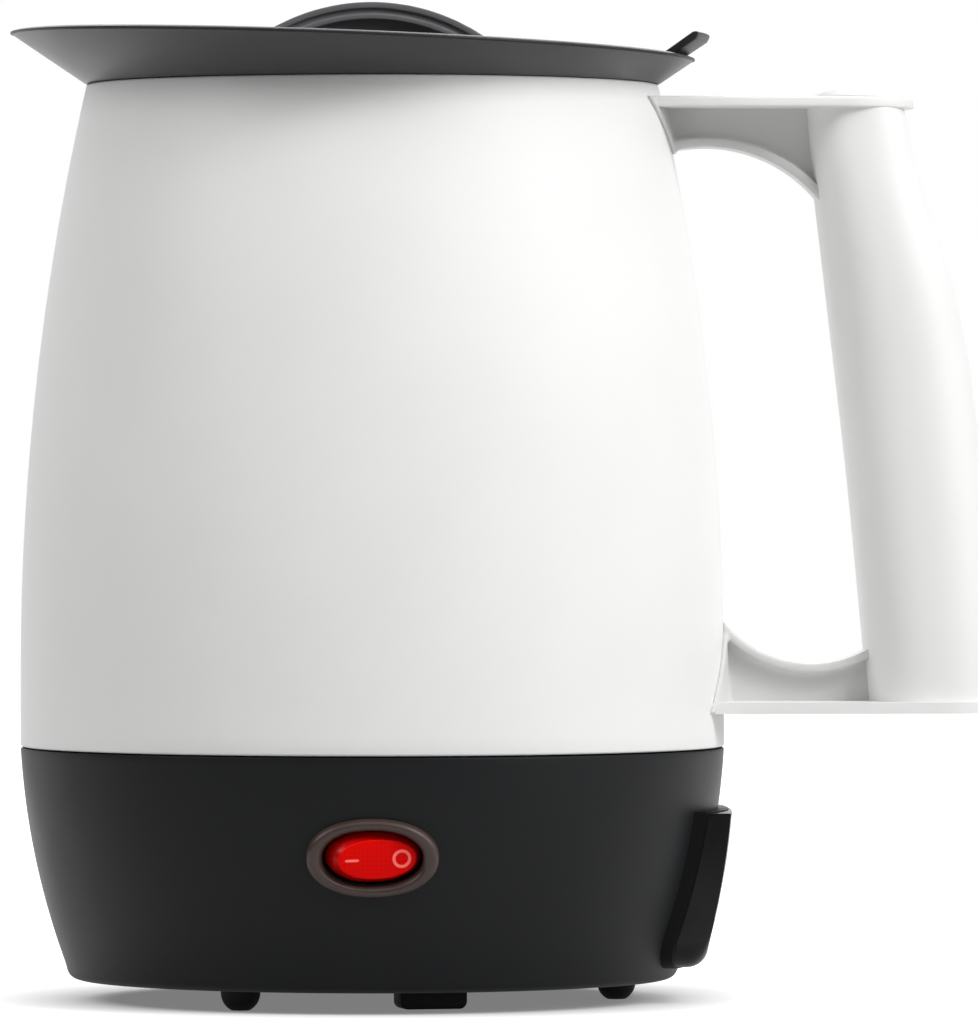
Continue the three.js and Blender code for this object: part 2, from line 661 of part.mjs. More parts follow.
function inletRootBand() {
  const { half, bottomZ, topZ, depth } = inletRoot;
  const lower = inletPlaces(inletRoot).map((y) => [y, bottomZ + lowRise(inletRoot, y)]);
  const edge = alongX([...lower, [half, topZ], [-half, topZ]], inlet.backX, 90);
  return overlap(baseSolid(GAP + depth), edge);
}

function inletWindow() {
  const [y, z] = [socket.halfWidth + socket.wall + 0.4, socket.halfHeight + socket.wall + 0.4];
  const screwWay = rodX(inletScrew.radius + GAP, 55, 80, 0, socket.z, 8);
  const screws = [-1, 1].map((side) => move(screwWay, 0, side * inletScrew.y, 0));
  return join(block(55, 82, -y, y, socket.z - z, socket.z + z), ...screws);
}

const inletScrew = { y: 20, radius: 1.3, head: 2.7, seatX: 72.3, headX: 73.7, endX: 60 };

function inletHousing() {
  const face = cut(join(inletBlock(), inletRootBand()), baseSolid(GAP));
  const [y, z] = [socket.halfWidth, socket.halfHeight];
  const [outY, outZ] = [y + socket.wall, z + socket.wall];
  const box = block(socket.backX, socket.frontX, -outY, outY, socket.z - outZ, socket.z + outZ);
  const cavity = socketCavity();
  const pins = bladePlaces.map(([py, pz]) => bladeBlock(py, pz, GAP));
  const screws = [-1, 1].map((side) => join(
    rodX(inletScrew.radius + GAP, 55, 90, side * inletScrew.y, socket.z, 8),
    rodX(inletScrew.head + GAP, inletScrew.seatX, 90, side * inletScrew.y, socket.z, 12),
  ));
  return cut(join(face, box), cavity, ...pins, ...screws);
}

// The socket's section has two cut corners, so that the connector goes in one way round.
function socketCavity() {
  const [y, z, c] = [socket.halfWidth, socket.halfHeight, socket.chamfer];
  const section = [[-y, -z], [y, -z], [y, z - c], [y - c, z], [c - y, z], [-y, z - c]];
  const depth = 90 - socket.backX - socket.wall;
  return move(alongX(section, 0, depth), socket.backX + socket.wall, 0, socket.z);
}

const bladePlaces = [
  [-blade.spacing / 2, socket.z - blade.earthUp / 2],
  [blade.spacing / 2, socket.z - blade.earthUp / 2],
  [0, socket.z + blade.earthUp / 2],
];

function bladeBlock(y, z, grow = 0) {
  const [halfY, halfZ] = [blade.thick / 2 + grow, blade.tall / 2 + grow];
  return block(blade.backX, blade.tipX, y - halfY, y + halfY, z - halfZ, z + halfZ);
}

function inletScrewShape() {
  const { radius, head, seatX, headX, endX } = inletScrew;
  return join(rodX(head, seatX + GAP, headX, 0, 0, 12), rodX(radius, endX, headX - 0.5, 0, 0, 6));
}

// The rocker switch stands square to the leaning wall. Its group's own Z points out of the wall,
// its X to the right and its Y up the wall.
const switchTurn = 90 + rocker.lean;
const intoSwitch = (shape) =>
  move(shape, 0, baseRadius(rocker.z), -rocker.z).rotate([-switchTurn, 0, 0]);
const outOfSwitch = (shape) =>
  move(shape.rotate([switchTurn, 0, 0]), 0, -baseRadius(rocker.z), rocker.z);
const switchOval = (half, grow, sides = 24) => oval(half[0] + grow, half[1] + grow, 2.15, sides);

const switchWindow = () => outOfSwitch(raise(switchOval(bezel.tube, GAP), -8, 8));

function switchHousing() {
  const flangeOutlines = [0, 0, -0.5, -1.3].map((grow) => switchOval(bezel.half, grow));
  const flange = loft(flangeOutlines, [-4, 0.9, 1.45, bezel.front]);
  const collarPart = cut(flange, intoSwitch(baseSolid(GAP)));
  const tubePart = raise(switchOval(bezel.tube, 0), -bezel.depth, 0.5);
  const mouthHeights = [1.5 - bezel.depth, 1.2, bezel.front + 0.1];
  const mouth = loft([0, 0, 0.4].map((grow) => switchOval(bezel.opening, grow)), mouthHeights);
  const slots = terminalX.map((x) => block(x - 0.7, x + 0.7, -3.5, 3.5, -bezel.depth - 1, 2 - bezel.depth));
  return cut(join(collarPart, tubePart), mouth, ...slots);
}

const terminalX = [-6.5, 0, 6.5];
const switchTerminal = () => block(-0.4, 0.4, -3.2, 3.2, -bezel.depth - 9, 2.4 - bezel.depth);
const switchLamp = () => rodX(1.6, -4, 4, 0, 4.2 - bezel.depth, 12);

const switchRocker = () =>
  loft(rockerSection.half.map((half) => switchOval(half, 0)), rockerSection.height);

// Below the vessel: heat plate, tubular element, thermostat and fuse.
const heatPlate = () => ring(heater.plateBore, heater.plateRadius, heater.plateZ, heater.plateTop, 24);

function heatingElement() {
  const z = heater.plateZ - GAP - element.tube;
  const from = element.openAngle / 2;
  const bow = arc(element.ring, from + 6, 354 - from, 16).map(([x, y]) => [x, y, z]);
  const end = (side) => [...polar(element.ring, side * from), z];
  const drop = (side) => [...polar(element.ring, side * (from - 2)), heater.plateZ - 8.9];
  return tube([drop(1), end(1), ...bow, end(-1), drop(-1)], element.tube, 7, 28);
}

function thermostatShape() {
  const top = heater.plateZ - GAP;
  const tags = block(-11, 11, -2.5, 2.5, top - 6.4, top - 5.6);
  return join(disc(8, top - 4.5, top), disc(6, top - 7, top - 4, 8), tags);
}

function thermalFuse() {
  const z = heater.plateZ - GAP - 2.2;
  return join(rodX(2.2, -6, 6, 0, z, 12), rodX(0.7, -11, 11, 0, z, 8));
}

// The motor hangs from the chassis plate and drives the stirrer through the floor of the vessel.
function motorCan() {
  const { radius, wall, topZ, bottomZ, shaft } = motor;
  const can = revolve([
    [radius - wall, bottomZ],
    [radius, bottomZ],
    [radius, topZ],
    [shaft + 0.4, topZ],
    [shaft + 0.4, topZ - wall - 1],
    [radius - wall, topZ - wall - 1],
  ], 18);
  const studs = motorScrewX.map((x) => move(join(
    disc(3, topZ - 1, chassis.bottomZ - GAP, 10),
    disc(1.3, topZ, chassis.topZ + 1.4, 6),
  ), x, 0, 0));
  return join(can, ...studs);
}

const motorEndCap = () => revolve([
  [motor.shaft + 0.4, motor.bottomZ - 2.2],
  [motor.radius, motor.bottomZ - 2.2],
  [motor.radius, motor.bottomZ - GAP],
  [motor.shaft + 0.4, motor.bottomZ - GAP],
], 18);

const motorRotor = () => ring(motor.shaft + GAP, motor.rotor, motor.bottomZ + 4, motor.topZ - 5, 12);
const motorShaft = () => disc(motor.shaft, motor.bottomZ - 3.5, coupling.middle, 12);

function motorMagnet() {
  const outside = arc(motor.radius - motor.wall - GAP, 62, -62, 8);
  return raise([...arc(motor.rotor + 1.2, -62, 62, 8), ...outside], motor.bottomZ + 4, motor.topZ - 5);
}

const coupling = { radius: 5.5, bottomZ: 42.9, middle: 46.9, topZ: 52 };

function couplingSleeve() {
  const { radius, bottomZ, middle, topZ } = coupling;
  return revolve([
    [motor.shaft + GAP, bottomZ],
    [radius, bottomZ],
    [radius, topZ],
    [spindle.radius + GAP, topZ],
    [spindle.radius + GAP, middle + GAP],
    [motor.shaft + GAP, middle + GAP],
  ], SMALL_STEPS);
}

function driveSpindle() {
  const half = spindle.square / 2;
  const drive = block(-half, half, -half, half, spindle.roundTopZ - 1, spindle.topZ - 0.8);
  const nose = block(-half + 0.8, half - 0.8, -half + 0.8, half - 0.8, spindle.topZ - 2, spindle.topZ);
  return join(disc(spindle.radius, spindle.bottomZ, spindle.roundTopZ, 16), drive, nose);
}

const neckFill = vesselNeck.radius - vessel.wall - 0.2;
const shaftBushing = () => ring(spindle.radius + 0.1, neckFill, 57.5, 63);
const shaftSeal = () => ring(spindle.radius + 0.1, neckFill, 63.3, 66.8);

function chassisPlate() {
  const { bottomZ, topZ, radius, bore, earRadius } = chassis;
  const ears = thirds(ear.firstAngle).map((a) =>
    turnZ(block(radius - 8, ear.reach, -ear.width / 2, ear.width / 2, bottomZ, topZ), a));
  const holes = thirds(ear.firstAngle).map((a) => at(disc(1.6, bottomZ - 1, topZ + 1, 8), earRadius, a));
  const motorHoles = motorScrewX.map((x) => move(disc(1.6, bottomZ - 1, topZ + 1, 8), x, 0, 0));
  const vents = thirds(0).map((a) => at(disc(6, bottomZ - 1, topZ + 1, 8), radius * 0.66, a));
  return cut(join(ring(bore, radius, bottomZ, topZ, 24), ...ears), ...holes, ...motorHoles, ...vents);
}

const motorScrewX = [-13, 13];
const chassisScrew = () =>
  join(disc(3, chassis.topZ + GAP, chassis.topZ + 2, 10), disc(1.2, 39.5, chassis.topZ + 1, 6));

// The stirrer lifts off its square drive: a hub, an arm, and two upright blades with slots.
function stirrerShape() {
  const { hubBottomZ, hubTopZ, hubRadius, reach, tall, thick } = stirrer;
  const hub = revolve([
    [0, hubBottomZ],
    [hubRadius, hubBottomZ],
    [hubRadius, hubBottomZ + 4],
    [hubRadius - 1.5, hubTopZ - 3],
    [hubRadius - 3.5, hubTopZ],
    [0, hubTopZ],
  ], SMALL_STEPS);
  const blades = [0, 180].map((a) => turnZ(stirrerBlade(reach, hubBottomZ, tall, thick), a));
  const half = spindle.square / 2 + GAP;
  const bore = block(-half, half, -half, half, spindle.roundTopZ - 0.5, spindle.topZ + 0.4);
  const mouth = disc(spindle.radius + 0.4, hubBottomZ - 1, spindle.roundTopZ + GAP, 16);
  return cut(join(hub, ...blades), bore, mouth);
}

function stirrerBlade(reach, z, tall, thick) {
  const corner = 5;
  const outline = [
    [3.5, z],
    [reach, z],
    ...arc(corner, 0, 90, 4, reach - corner, z + tall - corner),
    ...arc(corner, 90, 180, 4, 15 + corner, z + tall - corner),
    [13, z + 5],
    [3.5, z + 5],
  ];
  const slots = [19.5, 25.5].map((x) => block(x, x + 2.6, -9, 9, z + 4, z + tall - 3.5));
  return cut(drawOut(outline, thick / 2), ...slots);
}

const board = { posts: [[-36, 12], [-36, 30]], bottomZ: 12.4, topZ: 14 };

function rectifierBoard() {
  const panel = block(-44, -28, 6, 36, board.bottomZ, board.topZ);
  const diodes = [13, 18, 23, 28].map((y) => rodX(1.3, -41, -31, y, board.topZ + 1.1, 10));
  return join(panel, ...diodes);
}

// Insulated wires, each from one terminal to the next, clear of the motor and the element.
const blackWire = 0x1b1b1d;
const brownWire = 0x5a3320;
const blueWire = 0x2b4d8f;
const greenWire = 0x6d8f2a;
const redWire = 0xa3241c;
const wires = {
  wire_live_in: [
    brownWire,
    [[45.4, -7, 22.7], [38, -9, 22.5], [30, -24, 27], [15, -39, 34], [6.5, -48.3, 38.3]],
  ],
  wire_switched: [
    blackWire,
    [[0, -48.3, 38.3], [-8, -41, 38], [-15, -32, 41], [-16.5, -28.6, 45.2], [-15.2, -25.6, 49.6],
      [-11.7, -24.5, 50.5]],
  ],
  wire_heater: [redWire, [[11.7, -24.5, 50.5], [19, -22, 49.2], [28, -15, 48.2], [34.2, -9.7, 48.2]]],
  wire_neutral: [blueWire, [[45.4, 7, 22.7], [40, 8, 25], [35, 4, 34], [33, 1, 45.2], [33.4, 5, 48.2]]],
  wire_earth: [greenWire, [[45.4, 0, 26.7], [40, -2, 30], [35, -10, 38], [33, -14, 43.6]]],
  wire_motor: [redWire, [[-26.8, 18, 13.3], [-24, 15, 12.8], [-20, 9, 13.6]]],
};
const wireRadius = 1.1;

function wireMeshes() {
  return Object.entries(wires).map(([name, [color, route]]) =>
    part(name, tube(route, wireRadius, 5, 12), insulation(color)));
}

// Puts a mesh in its place, turned about the vertical where it is one of a ring.
function place(mesh, x = 0, y = 0, z = 0, degrees = 0) {
  mesh.position.set(x, y, z);
  mesh.rotation.z = radians(degrees);
  return mesh;
}

function ringOf(name, makeShape, material, radius, firstAngle) {
  return thirds(firstAngle).map((degrees, i) => {
    const [x, y] = polar(radius, degrees);
    return place(part(`${name}_${i + 1}`, makeShape(), material()), x, y, 0, degrees);
  });
}

function shellsGroup() {
  const group = new THREE.Group();
  group.add(part('body_shell', bodyShell(), white()));
  group.add(part('base_shell', baseShell(), charcoal()));
  group.add(part('bottom_plate', bottomPlate(), charcoal()));
  group.add(part('collar', funnelCollar(), darkGrey()));
  group.add(part('vessel', innerVessel(), steel()));
  group.add(part('vessel_gasket', vesselGasket(), silicone()));
  group.add(...ringOf('foot', rubberFoot, rubber, foot.ring, foot.firstAngle));
  group.add(...ringOf('bottom_screw', baseScrewShape, zinc, baseScrew.ring, baseScrew.firstAngle));
  return group;
}

function handleGroup() {
  const group = new THREE.Group();
  group.add(part('handle_upper_bracket', upperBracket(), white()));
  group.add(part('handle_lower_bracket', lowerBracket(), white()));
  group.add(part('handle_grip', handleGrip(), white()));
  group.add(place(part('handle_cap', domeCap(), white()), dome.x));
  group.add(part('upper_bracket_screw', handleScrew(upperScrew), zinc()));
  group.add(part('lower_bracket_screw', handleScrew(lowerScrew), zinc()));
  const top = part('grip_top_screw', gripScrewShape(), zinc());
  const low = part('grip_low_screw', gripScrewShape(), zinc());
  low.rotation.x = Math.PI;
  top.position.set(dome.x, 0, topPlate.topZ + GAP);
  low.position.set(lowScrewX, 0, lowPlate.bottomZ + gripScrew.headTall);
  group.add(top, low);
  return group;
}

function inletGroup() {
  const group = new THREE.Group();
  group.add(part('inlet_housing', inletHousing(), black()));
  const bladeNames = ['inlet_blade_live', 'inlet_blade_neutral', 'inlet_blade_earth'];
  bladeNames.forEach((name, i) => group.add(part(name, bladeBlock(...bladePlaces[i]), brass())));
  [-1, 1].forEach((side, i) => {
    const screw = part(`inlet_screw_${i + 1}`, inletScrewShape(), zinc());
    screw.position.set(0, side * inletScrew.y, socket.z);
    group.add(screw);
  });
  return group;
}

function switchGroup() {
  const group = new THREE.Group();
  group.position.set(0, -baseRadius(rocker.z), rocker.z);
  group.rotation.x = radians(switchTurn);
  group.add(part('switch_housing', switchHousing(), black()));
  const button = part('switch_rocker', switchRocker(), clearRed());
  button.position.z = rocker.pivot;
  button.rotation.y = radians(rocker.tilt);
  group.add(button);
  group.add(part('switch_lamp', switchLamp(), silicone()));
  terminalX.forEach((x, i) => {
    group.add(place(part(`switch_terminal_${i + 1}`, switchTerminal(), brass()), x));
  });
  return group;
}

function heaterGroup() {
  const group = new THREE.Group();
  group.add(part('heat_plate', heatPlate(), aluminium()));
  group.add(part('heating_element', heatingElement(), steel()));
  group.add(place(part('thermostat', thermostatShape(), black()), 0, -24.5));
  group.add(place(part('thermal_fuse', thermalFuse(), zinc()), 0, 24));
  return group;
}

function driveGroup() {
  const group = new THREE.Group();
  group.add(part('chassis_plate', chassisPlate(), zinc()));
  group.add(...ringOf('chassis_screw', chassisScrew, zinc, chassis.earRadius, ear.firstAngle));
  group.add(part('motor_can', motorCan(), zinc()));
  group.add(part('motor_end_cap', motorEndCap(), black()));
  group.add(part('motor_magnet_1', motorMagnet(), charcoal()));
  group.add(place(part('motor_magnet_2', motorMagnet(), charcoal()), 0, 0, 0, 180));
  group.add(part('motor_rotor', motorRotor(), steel()));
  group.add(part('motor_shaft', motorShaft(), steel()));
  group.add(part('drive_coupling', couplingSleeve(), black()));
  group.add(part('drive_spindle', driveSpindle(), steel()));
  group.add(part('shaft_bushing', shaftBushing(), brass()));
  group.add(part('shaft_seal', shaftSeal(), silicone()));
  group.add(part('stirrer', stirrerShape(), darkGrey()));
  group.add(part('rectifier_board', rectifierBoard(), insulation(0x3f6b3a)));
  return group;
}

function lidGroup() {
  const group = new THREE.Group();
  group.add(part('lid', lidDish(), darkGrey()));
  group.add(part('lid_grip', lidGrip(), darkGrey()));
  return group;
}

// The whole object, centred over the middle of its footprint.
const maker = new THREE.Group();
maker.add(shellsGroup(), handleGroup(), inletGroup(), switchGroup(), heaterGroup(), driveGroup());
maker.add(lidGroup(), ...wireMeshes());
const middle = new THREE.Box3().setFromObject(maker, true).getCenter(new THREE.Vector3());
maker.position.set(-middle.x, -middle.y, 0);

export default maker;
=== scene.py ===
"""A hot chocolate maker: a white barrel jug on a charcoal base, with a funnel collar, a lift-off lid,
a side handle and a red rocker switch.

Shapes are drawn in millimetres about the jug's axis, with the table at Z = 0, the handle towards +X,
the spout towards -X and the switch towards -Y. A finished piece is moved into the frame, in metres.
"""
from math import acos, atan2, copysign, cos, degrees, pi, radians, sin, sqrt, tan
from types import SimpleNamespace as Sizes

import bmesh
import bpy
from mathutils import Matrix, Vector


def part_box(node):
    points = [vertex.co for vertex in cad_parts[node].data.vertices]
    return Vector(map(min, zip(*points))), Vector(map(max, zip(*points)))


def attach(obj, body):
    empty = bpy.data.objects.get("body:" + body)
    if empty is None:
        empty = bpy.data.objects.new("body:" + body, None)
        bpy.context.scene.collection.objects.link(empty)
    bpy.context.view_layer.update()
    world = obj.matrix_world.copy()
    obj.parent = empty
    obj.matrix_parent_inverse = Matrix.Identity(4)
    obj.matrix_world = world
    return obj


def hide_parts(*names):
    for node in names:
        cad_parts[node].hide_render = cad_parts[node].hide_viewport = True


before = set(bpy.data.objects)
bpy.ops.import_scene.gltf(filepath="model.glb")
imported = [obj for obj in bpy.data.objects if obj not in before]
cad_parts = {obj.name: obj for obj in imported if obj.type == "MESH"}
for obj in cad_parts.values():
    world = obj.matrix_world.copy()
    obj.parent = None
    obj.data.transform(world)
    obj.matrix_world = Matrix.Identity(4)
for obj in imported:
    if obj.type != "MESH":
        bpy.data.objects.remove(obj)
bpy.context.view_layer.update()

MM = 0.001
FULL_TURN = 2 * pi
shell_low, shell_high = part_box("body_shell")
AXIS = Vector(((shell_low[0] + shell_high[0]) / 2, (shell_low[1] + shell_high[1]) / 2, 0))
JUG_TO_FRAME = Matrix.Translation(AXIS) @ Matrix.Scale(MM, 4)

# Driving dimensions, in millimetres. A gap is what two separate pieces keep between them.
GAP = 0.3
SPIN_STEPS = 144
FINE_SPIN_STEPS = 192
SMALL_SPIN_STEPS = 48
SMOOTH_ROUNDS = 3
# Outlines and cutting tools start inside the shells, and run out past everything.
INNER_X = 50
FAR = 90
TOP_SPAN = (180, 220)
BARREL = Sizes(widest=75, bulge_z=70, bulge_radius=560, bottom=53.8, top=194.85, wall=2.4, edge=0.5)
BASE = Sizes(widest=75.265, bulge_z=63, bulge_radius=160, bottom=4.5, wall=2.5, round=2.5, edge=0.35)
SPIGOT = Sizes(outer=72.2, wall=1.8, top=58, floor=50, root=47)
LEDGE = Sizes(inner=57, bottom=7.3, top=9.5, rebate=60.3)
PLATE = Sizes(radius=60, bottom=4.6, top=6.9, edge=0.4)
FOOT = Sizes(radius=4.15, ring=52, flat=1.9, first_angle=-122, stem=2.4, barb=3.6, barb_low=7.2, barb_top=8.4)
LUG = Sizes(
    width=14.2, near=50, far=57, bottoms=(0.8, 2.2, 2.2), first_angle=-77,
    round=1.6, edge=0.4, sunk=1,
)
BASE_SCREW = Sizes(ring=54.5, first_angle=-35, radius=1.2, head=3.2, head_tall=1.7, deep=9.4)
CUP = Sizes(radius=5, top=8.7, floor=6.9, pocket=3.8, hole=1.9, sunk=0.5, way=(4, 10))

COLLAR = Sizes(
    slope=34, wall=1.4, seat=194.95, bore=56, skirt=58.2, skirt_z=191.9,
    throat=61.5, throat_drop=0.5, edge=0.4,
)
RIM = Sizes(tilt=2.23, right_x=68.7, right_z=199.94)
VESSEL = Sizes(radius=56.5, wall=1, floor=60.3, top=189.8, flange=58.2, round=6, edge=0.3)
VESSEL_NECK = Sizes(radius=7, top=67)
VESSEL_LEDGE = Sizes(inner=57.2, root=183.6, tip=186.6, top=188.5)
LID = Sizes(
    depth=5.2, wall=1.6, lift=0.3, lip=0.5, lip_low=0.02, overhang=0.1,
    notch_half=13, notch_x=-43, voxel=0.65,
)
TAB = Sizes(half_angle=17, thick=1.6, reach=71.9, root=63, edge=0.3)
FIN = Sizes(
    radius=43, top=212.4, seat_x=0.9, thick=9, span=120, inner=25, edge=0.3,
    border=1.4, groove=1.1, groove_deep=0.7, ridge=1.2, pocket_deep=3, rail=1.2,
)

TOP_PLATE = Sizes(bottom=189.7, top=192, half_width=18, end_x=115.5, end_radius=15.5)
LOW_PLATE = Sizes(bottom=61.2, top=63.6, half_width=24, end_x=138, end_radius=18.5)
TOP_ARCH = Sizes(x=71, z=150.5, radius=31, start=36, end=136, flange_half=7, grip_x=96.5)
LOW_ARCH = Sizes(x=93.5, z=95.6, radius=24, start=-142, end=-52, flange_half=7.5, grip_x=108, root_x=70)
TOP_PAD = Sizes(wide=21, narrow=7, z=180.2)
LOW_PAD = Sizes(wide=24, narrow=7.5, z=78)
BRACKET = Sizes(web=4, web_inset=1, flange=2, pad=0.6, pad_inset=0.1, sunk=0.08, edge=0.5, voxel=0.36)
GRIP = Sizes(top=189.4, bottom=63.9, top_half=14, bottom_half=16.5, squareness=2.5, sunk=1.2)
GRIP_EDGE = {
    "z": [63, 109, 149, 171, 180, 190],
    "inner": [105.7, 101.4, 96.8, 94.2, 93.1, 92.3],
    "outer": [134.8, 130.6, 124.6, 117.9, 115.4, 113.3],
}
DOME = Sizes(
    x=102.6, radius=8.3, peak=195.65, wall=1.3, fullness=1.1, rim=2.1, hollow_top=4.65,
    chamfer=0.9, edge=0.2,
)
LOW_SCREW_X = 119
GRIP_LEVELS = 36
GRIP_SCREW = Sizes(bore=2.4, radius=2, head=4, head_tall=1.2, deep=15)

INLET = Sizes(half=27, top=40.4, bottom=7.7, inner_x=48, proud=3, corner=4.5, low_round=6.5, edge=0.7)
INLET_FACE = Sizes(lean=0.058, bow=1.1)
INLET_ROOT = Sizes(half=28.8, depth=2, bottom=7.4, top=40.7, low_round=8)
SOCKET = Sizes(z=24.7, half_width=12.3, half_height=8.4, wall=2, back_x=52, front_x=69, chamfer=4, clear=0.4)
BLADE = Sizes(thick=2, tall=4, spacing=14, earth_up=4, tip_x=72, back_x=46, edge=0.5)
INLET_SCREW = Sizes(y=20, seat_x=72.3, way_x=55, radius=1.3, head=2.7, head_tall=1.1, deep=12.6)

ROCKER = Sizes(z=32.9, lean=12.7, tilt=10, pivot=-4.5, top=5.8)
# The rocker's levels, each as half its width, half its height and how far it stands out.
ROCKER_FLANK = [
    (8, 4.4, -3), (10.2, 5.6, 0.5), (9.9, 5.5, 2.2), (9.5, 5.35, 3.5), (8.9, 4.8, 4.6), (8.35, 4.3, 5.3),
]
ROCKER_FACE = [(8.27, 4.22, 5.5), (8.15, 4.1, 5.67), (8, 3.95, 5.77), (7.8, 3.75, 5.8)]
MARK = Sizes(bar_x=-5.3, bar_half=(1.45, 0.27), ring_x=5.1, ring=(1.35, 1.95), level=(-0.15, 0.05))
BEZEL = Sizes(
    half=(13.75, 8.35), opening=(10.45, 5.95), front=1.7, tube=(11.9, 7.2), depth=15,
    ring_back=-3, ring_low=0.1, end_wall=1.5, way=(-8, 8),
)
SPINDLE = Sizes(radius=3, round_top=70, top=84, square=4.6)
STIRRER = Sizes(
    bottom=68.6, top=87, hub=6.5, root=3.5, arm_tall=5, arm_end=13, thick=2,
    blade_x=15, reach=34, tall=15, corner=5,
    slots=(19.5, 25.5), slot_wide=2.6, slot_low=4, slot_high=11.5, voxel=0.35,
)


# The camera stands far in front, a little over half way up the jug, as in a product photograph.
CAMERA_BACK = 2.075
CAMERA_HEIGHT = 0.11575
CAMERA_AIM = Vector((0.02486, 0, 0.1038))
LENS = 341.9
SENSOR = 36

scene = bpy.context.scene
camera_data = bpy.data.cameras.new("camera")
camera_data.lens = LENS
camera_data.sensor_width = SENSOR
camera_data.clip_end = 30
camera = bpy.data.objects.new("camera", camera_data)
scene.collection.objects.link(camera)
camera.location = AXIS + Vector((0, -CAMERA_BACK, CAMERA_HEIGHT))
camera.rotation_euler = (AXIS + CAMERA_AIM - camera.location).to_track_quat("-Z", "Y").to_euler()
scene.camera = camera


# Materials. Each has a fine surface pattern on Object coordinates, whose unit is the metre.
def linear(level):
    """One screen level, 0 to 255, as a linear value."""
    share = level / 255
    return share / 12.92 if share <= 0.04045 else ((share + 0.055) / 1.055) ** 2.4


def colour(red, green, blue):
    return (linear(red), linear(green), linear(blue), 1)


# A Mix node's colour inputs and output by number, and the scale of the lens's prisms.
MIX_A = 6
MIX_B = 7
MIX_RESULT = 2
PRISM_SCALE = 340


def fill(tree, socket, value):
    """Links an input to another node's output, or sets it to a plain value."""
    if isinstance(value, bpy.types.NodeSocket):
        tree.links.new(value, socket)
    else:
        socket.default_value = value


def add_node(tree, kind, inputs=None, **settings):
    """Adds a node and fills its inputs, which are named or numbered."""
    node = tree.nodes.new(kind)
    for key, value in settings.items():
        setattr(node, key, value)
    for key, value in (inputs or {}).items():
        fill(tree, node.inputs[key], value)
    return node


def ranged(tree, value, low, high, start, end):
    """As value goes from start to end, the result goes from low to high."""
    inputs = {"Value": value, "From Min": start, "From Max": end, "To Min": low, "To Max": high}
    return add_node(tree, "ShaderNodeMapRange", inputs).outputs["Result"]


class Finish:
    """A material with a Principled shader, and short ways to add nodes to it."""

    def __init__(self, name):
        self.material = bpy.data.materials.new(name)
        self.material.use_nodes = True
        self.tree = self.material.node_tree
        self.shader = self.tree.nodes["Principled BSDF"]
        self.place = self.node("ShaderNodeTexCoord").outputs["Object"]

    def node(self, kind, inputs=None, **settings):
        return add_node(self.tree, kind, inputs, **settings)

    def set(self, **values):
        """Fills the shader's own inputs. An underscore in a name stands for a space."""
        for key, value in values.items():
            fill(self.tree, self.shader.inputs[key.replace("_", " ")], value)

    def noise(self, size_mm, detail=2, stretch=(1, 1, 1)):
        """Noise whose lumps are about size_mm across."""
        mapping = self.node("ShaderNodeMapping", {"Vector": self.place, "Scale": stretch})
        inputs = {"Vector": mapping.outputs["Vector"], "Scale": 1 / (size_mm * MM), "Detail": detail}
        return self.node("ShaderNodeTexNoise", inputs).outputs["Fac"]

    def spread(self, noise, low, high):
        """The middle part of a noise, which is nearly all of it, spread from low to high."""
        return ranged(self.tree, noise, low, high, 0.3, 0.7)

    def tint(self, share, dark, light):
        mix = self.node("ShaderNodeMix", {"Factor": share, MIX_A: dark, MIX_B: light}, data_type="RGBA")
        self.set(Base_Color=mix.outputs[MIX_RESULT])

    def relief(self, height, depth_mm):
        bump = self.node("ShaderNodeBump", {"Height": height, "Distance": depth_mm * MM, "Strength": 1})
        self.set(Normal=bump.outputs["Normal"])


def moulded(name, dark, light, gloss, grain_mm, grain_depth, patch_mm=30, shine=0.5):
    """Moulded plastic: a skin with a fine grain, and gloss that varies a little from place to place."""
    finish = Finish(name)
    patches = finish.noise(patch_mm)
    finish.tint(finish.spread(patches, 0, 1), colour(*dark), colour(*light))
    finish.set(Roughness=finish.spread(patches, *gloss), Specular_IOR_Level=shine)
    finish.relief(finish.noise(grain_mm, detail=3), grain_depth)
    return finish


def metal(name, dark, light, gloss, stretch, grain_mm, grain_depth):
    """Metal with a grain that is drawn out along one way."""
    finish = Finish(name)
    grain = finish.noise(grain_mm, detail=4, stretch=stretch)
    finish.tint(finish.spread(grain, 0, 1), colour(*dark), colour(*light))
    finish.set(Roughness=finish.spread(grain, *gloss), Metallic=1)
    finish.relief(grain, grain_depth)
    return finish


def red_lens():
    """Clear red plastic over a fine prism grid, with a faint painted glow that brightens it."""
    finish = Finish("red_lens")
    inputs = {"Vector": finish.place, "Scale": PRISM_SCALE}
    grids = [finish.node("ShaderNodeTexWave", inputs, bands_direction=axis).outputs["Fac"] for axis in "XZ"]
    crossed = finish.node("ShaderNodeMath", dict(enumerate(grids)), operation="MULTIPLY")
    lines = ranged(finish.tree, crossed.outputs[0], 0, 1, 0, 0.4)
    finish.tint(lines, colour(220, 3, 1), colour(228, 5, 2))
    finish.set(Roughness=0.28, Specular_IOR_Level=0.06)
    # The emission is a painted glow that brightens the red face.
    finish.set(Emission_Color=colour(255, 6, 2), Emission_Strength=0.1)
    finish.relief(lines, 0.002)
    return finish.material


def mark_print_painted_glow():
    finish = moulded("mark_print_painted_glow", (255, 112, 104), (255, 128, 120), (0.4, 0.5), 0.3, 0.004, 3, 0.2)
    # The emission is a painted glow that keeps the print bright.
    finish.set(Emission_Color=colour(255, 96, 88), Emission_Strength=0.2)
    return finish.material


def insulation(name, *levels):
    """A wire's coloured sleeve."""
    paler = [level + 14 for level in levels]
    return moulded(f"insulation_{name}", levels, paler, (0.45, 0.6), 0.4, 0.008, 4).material


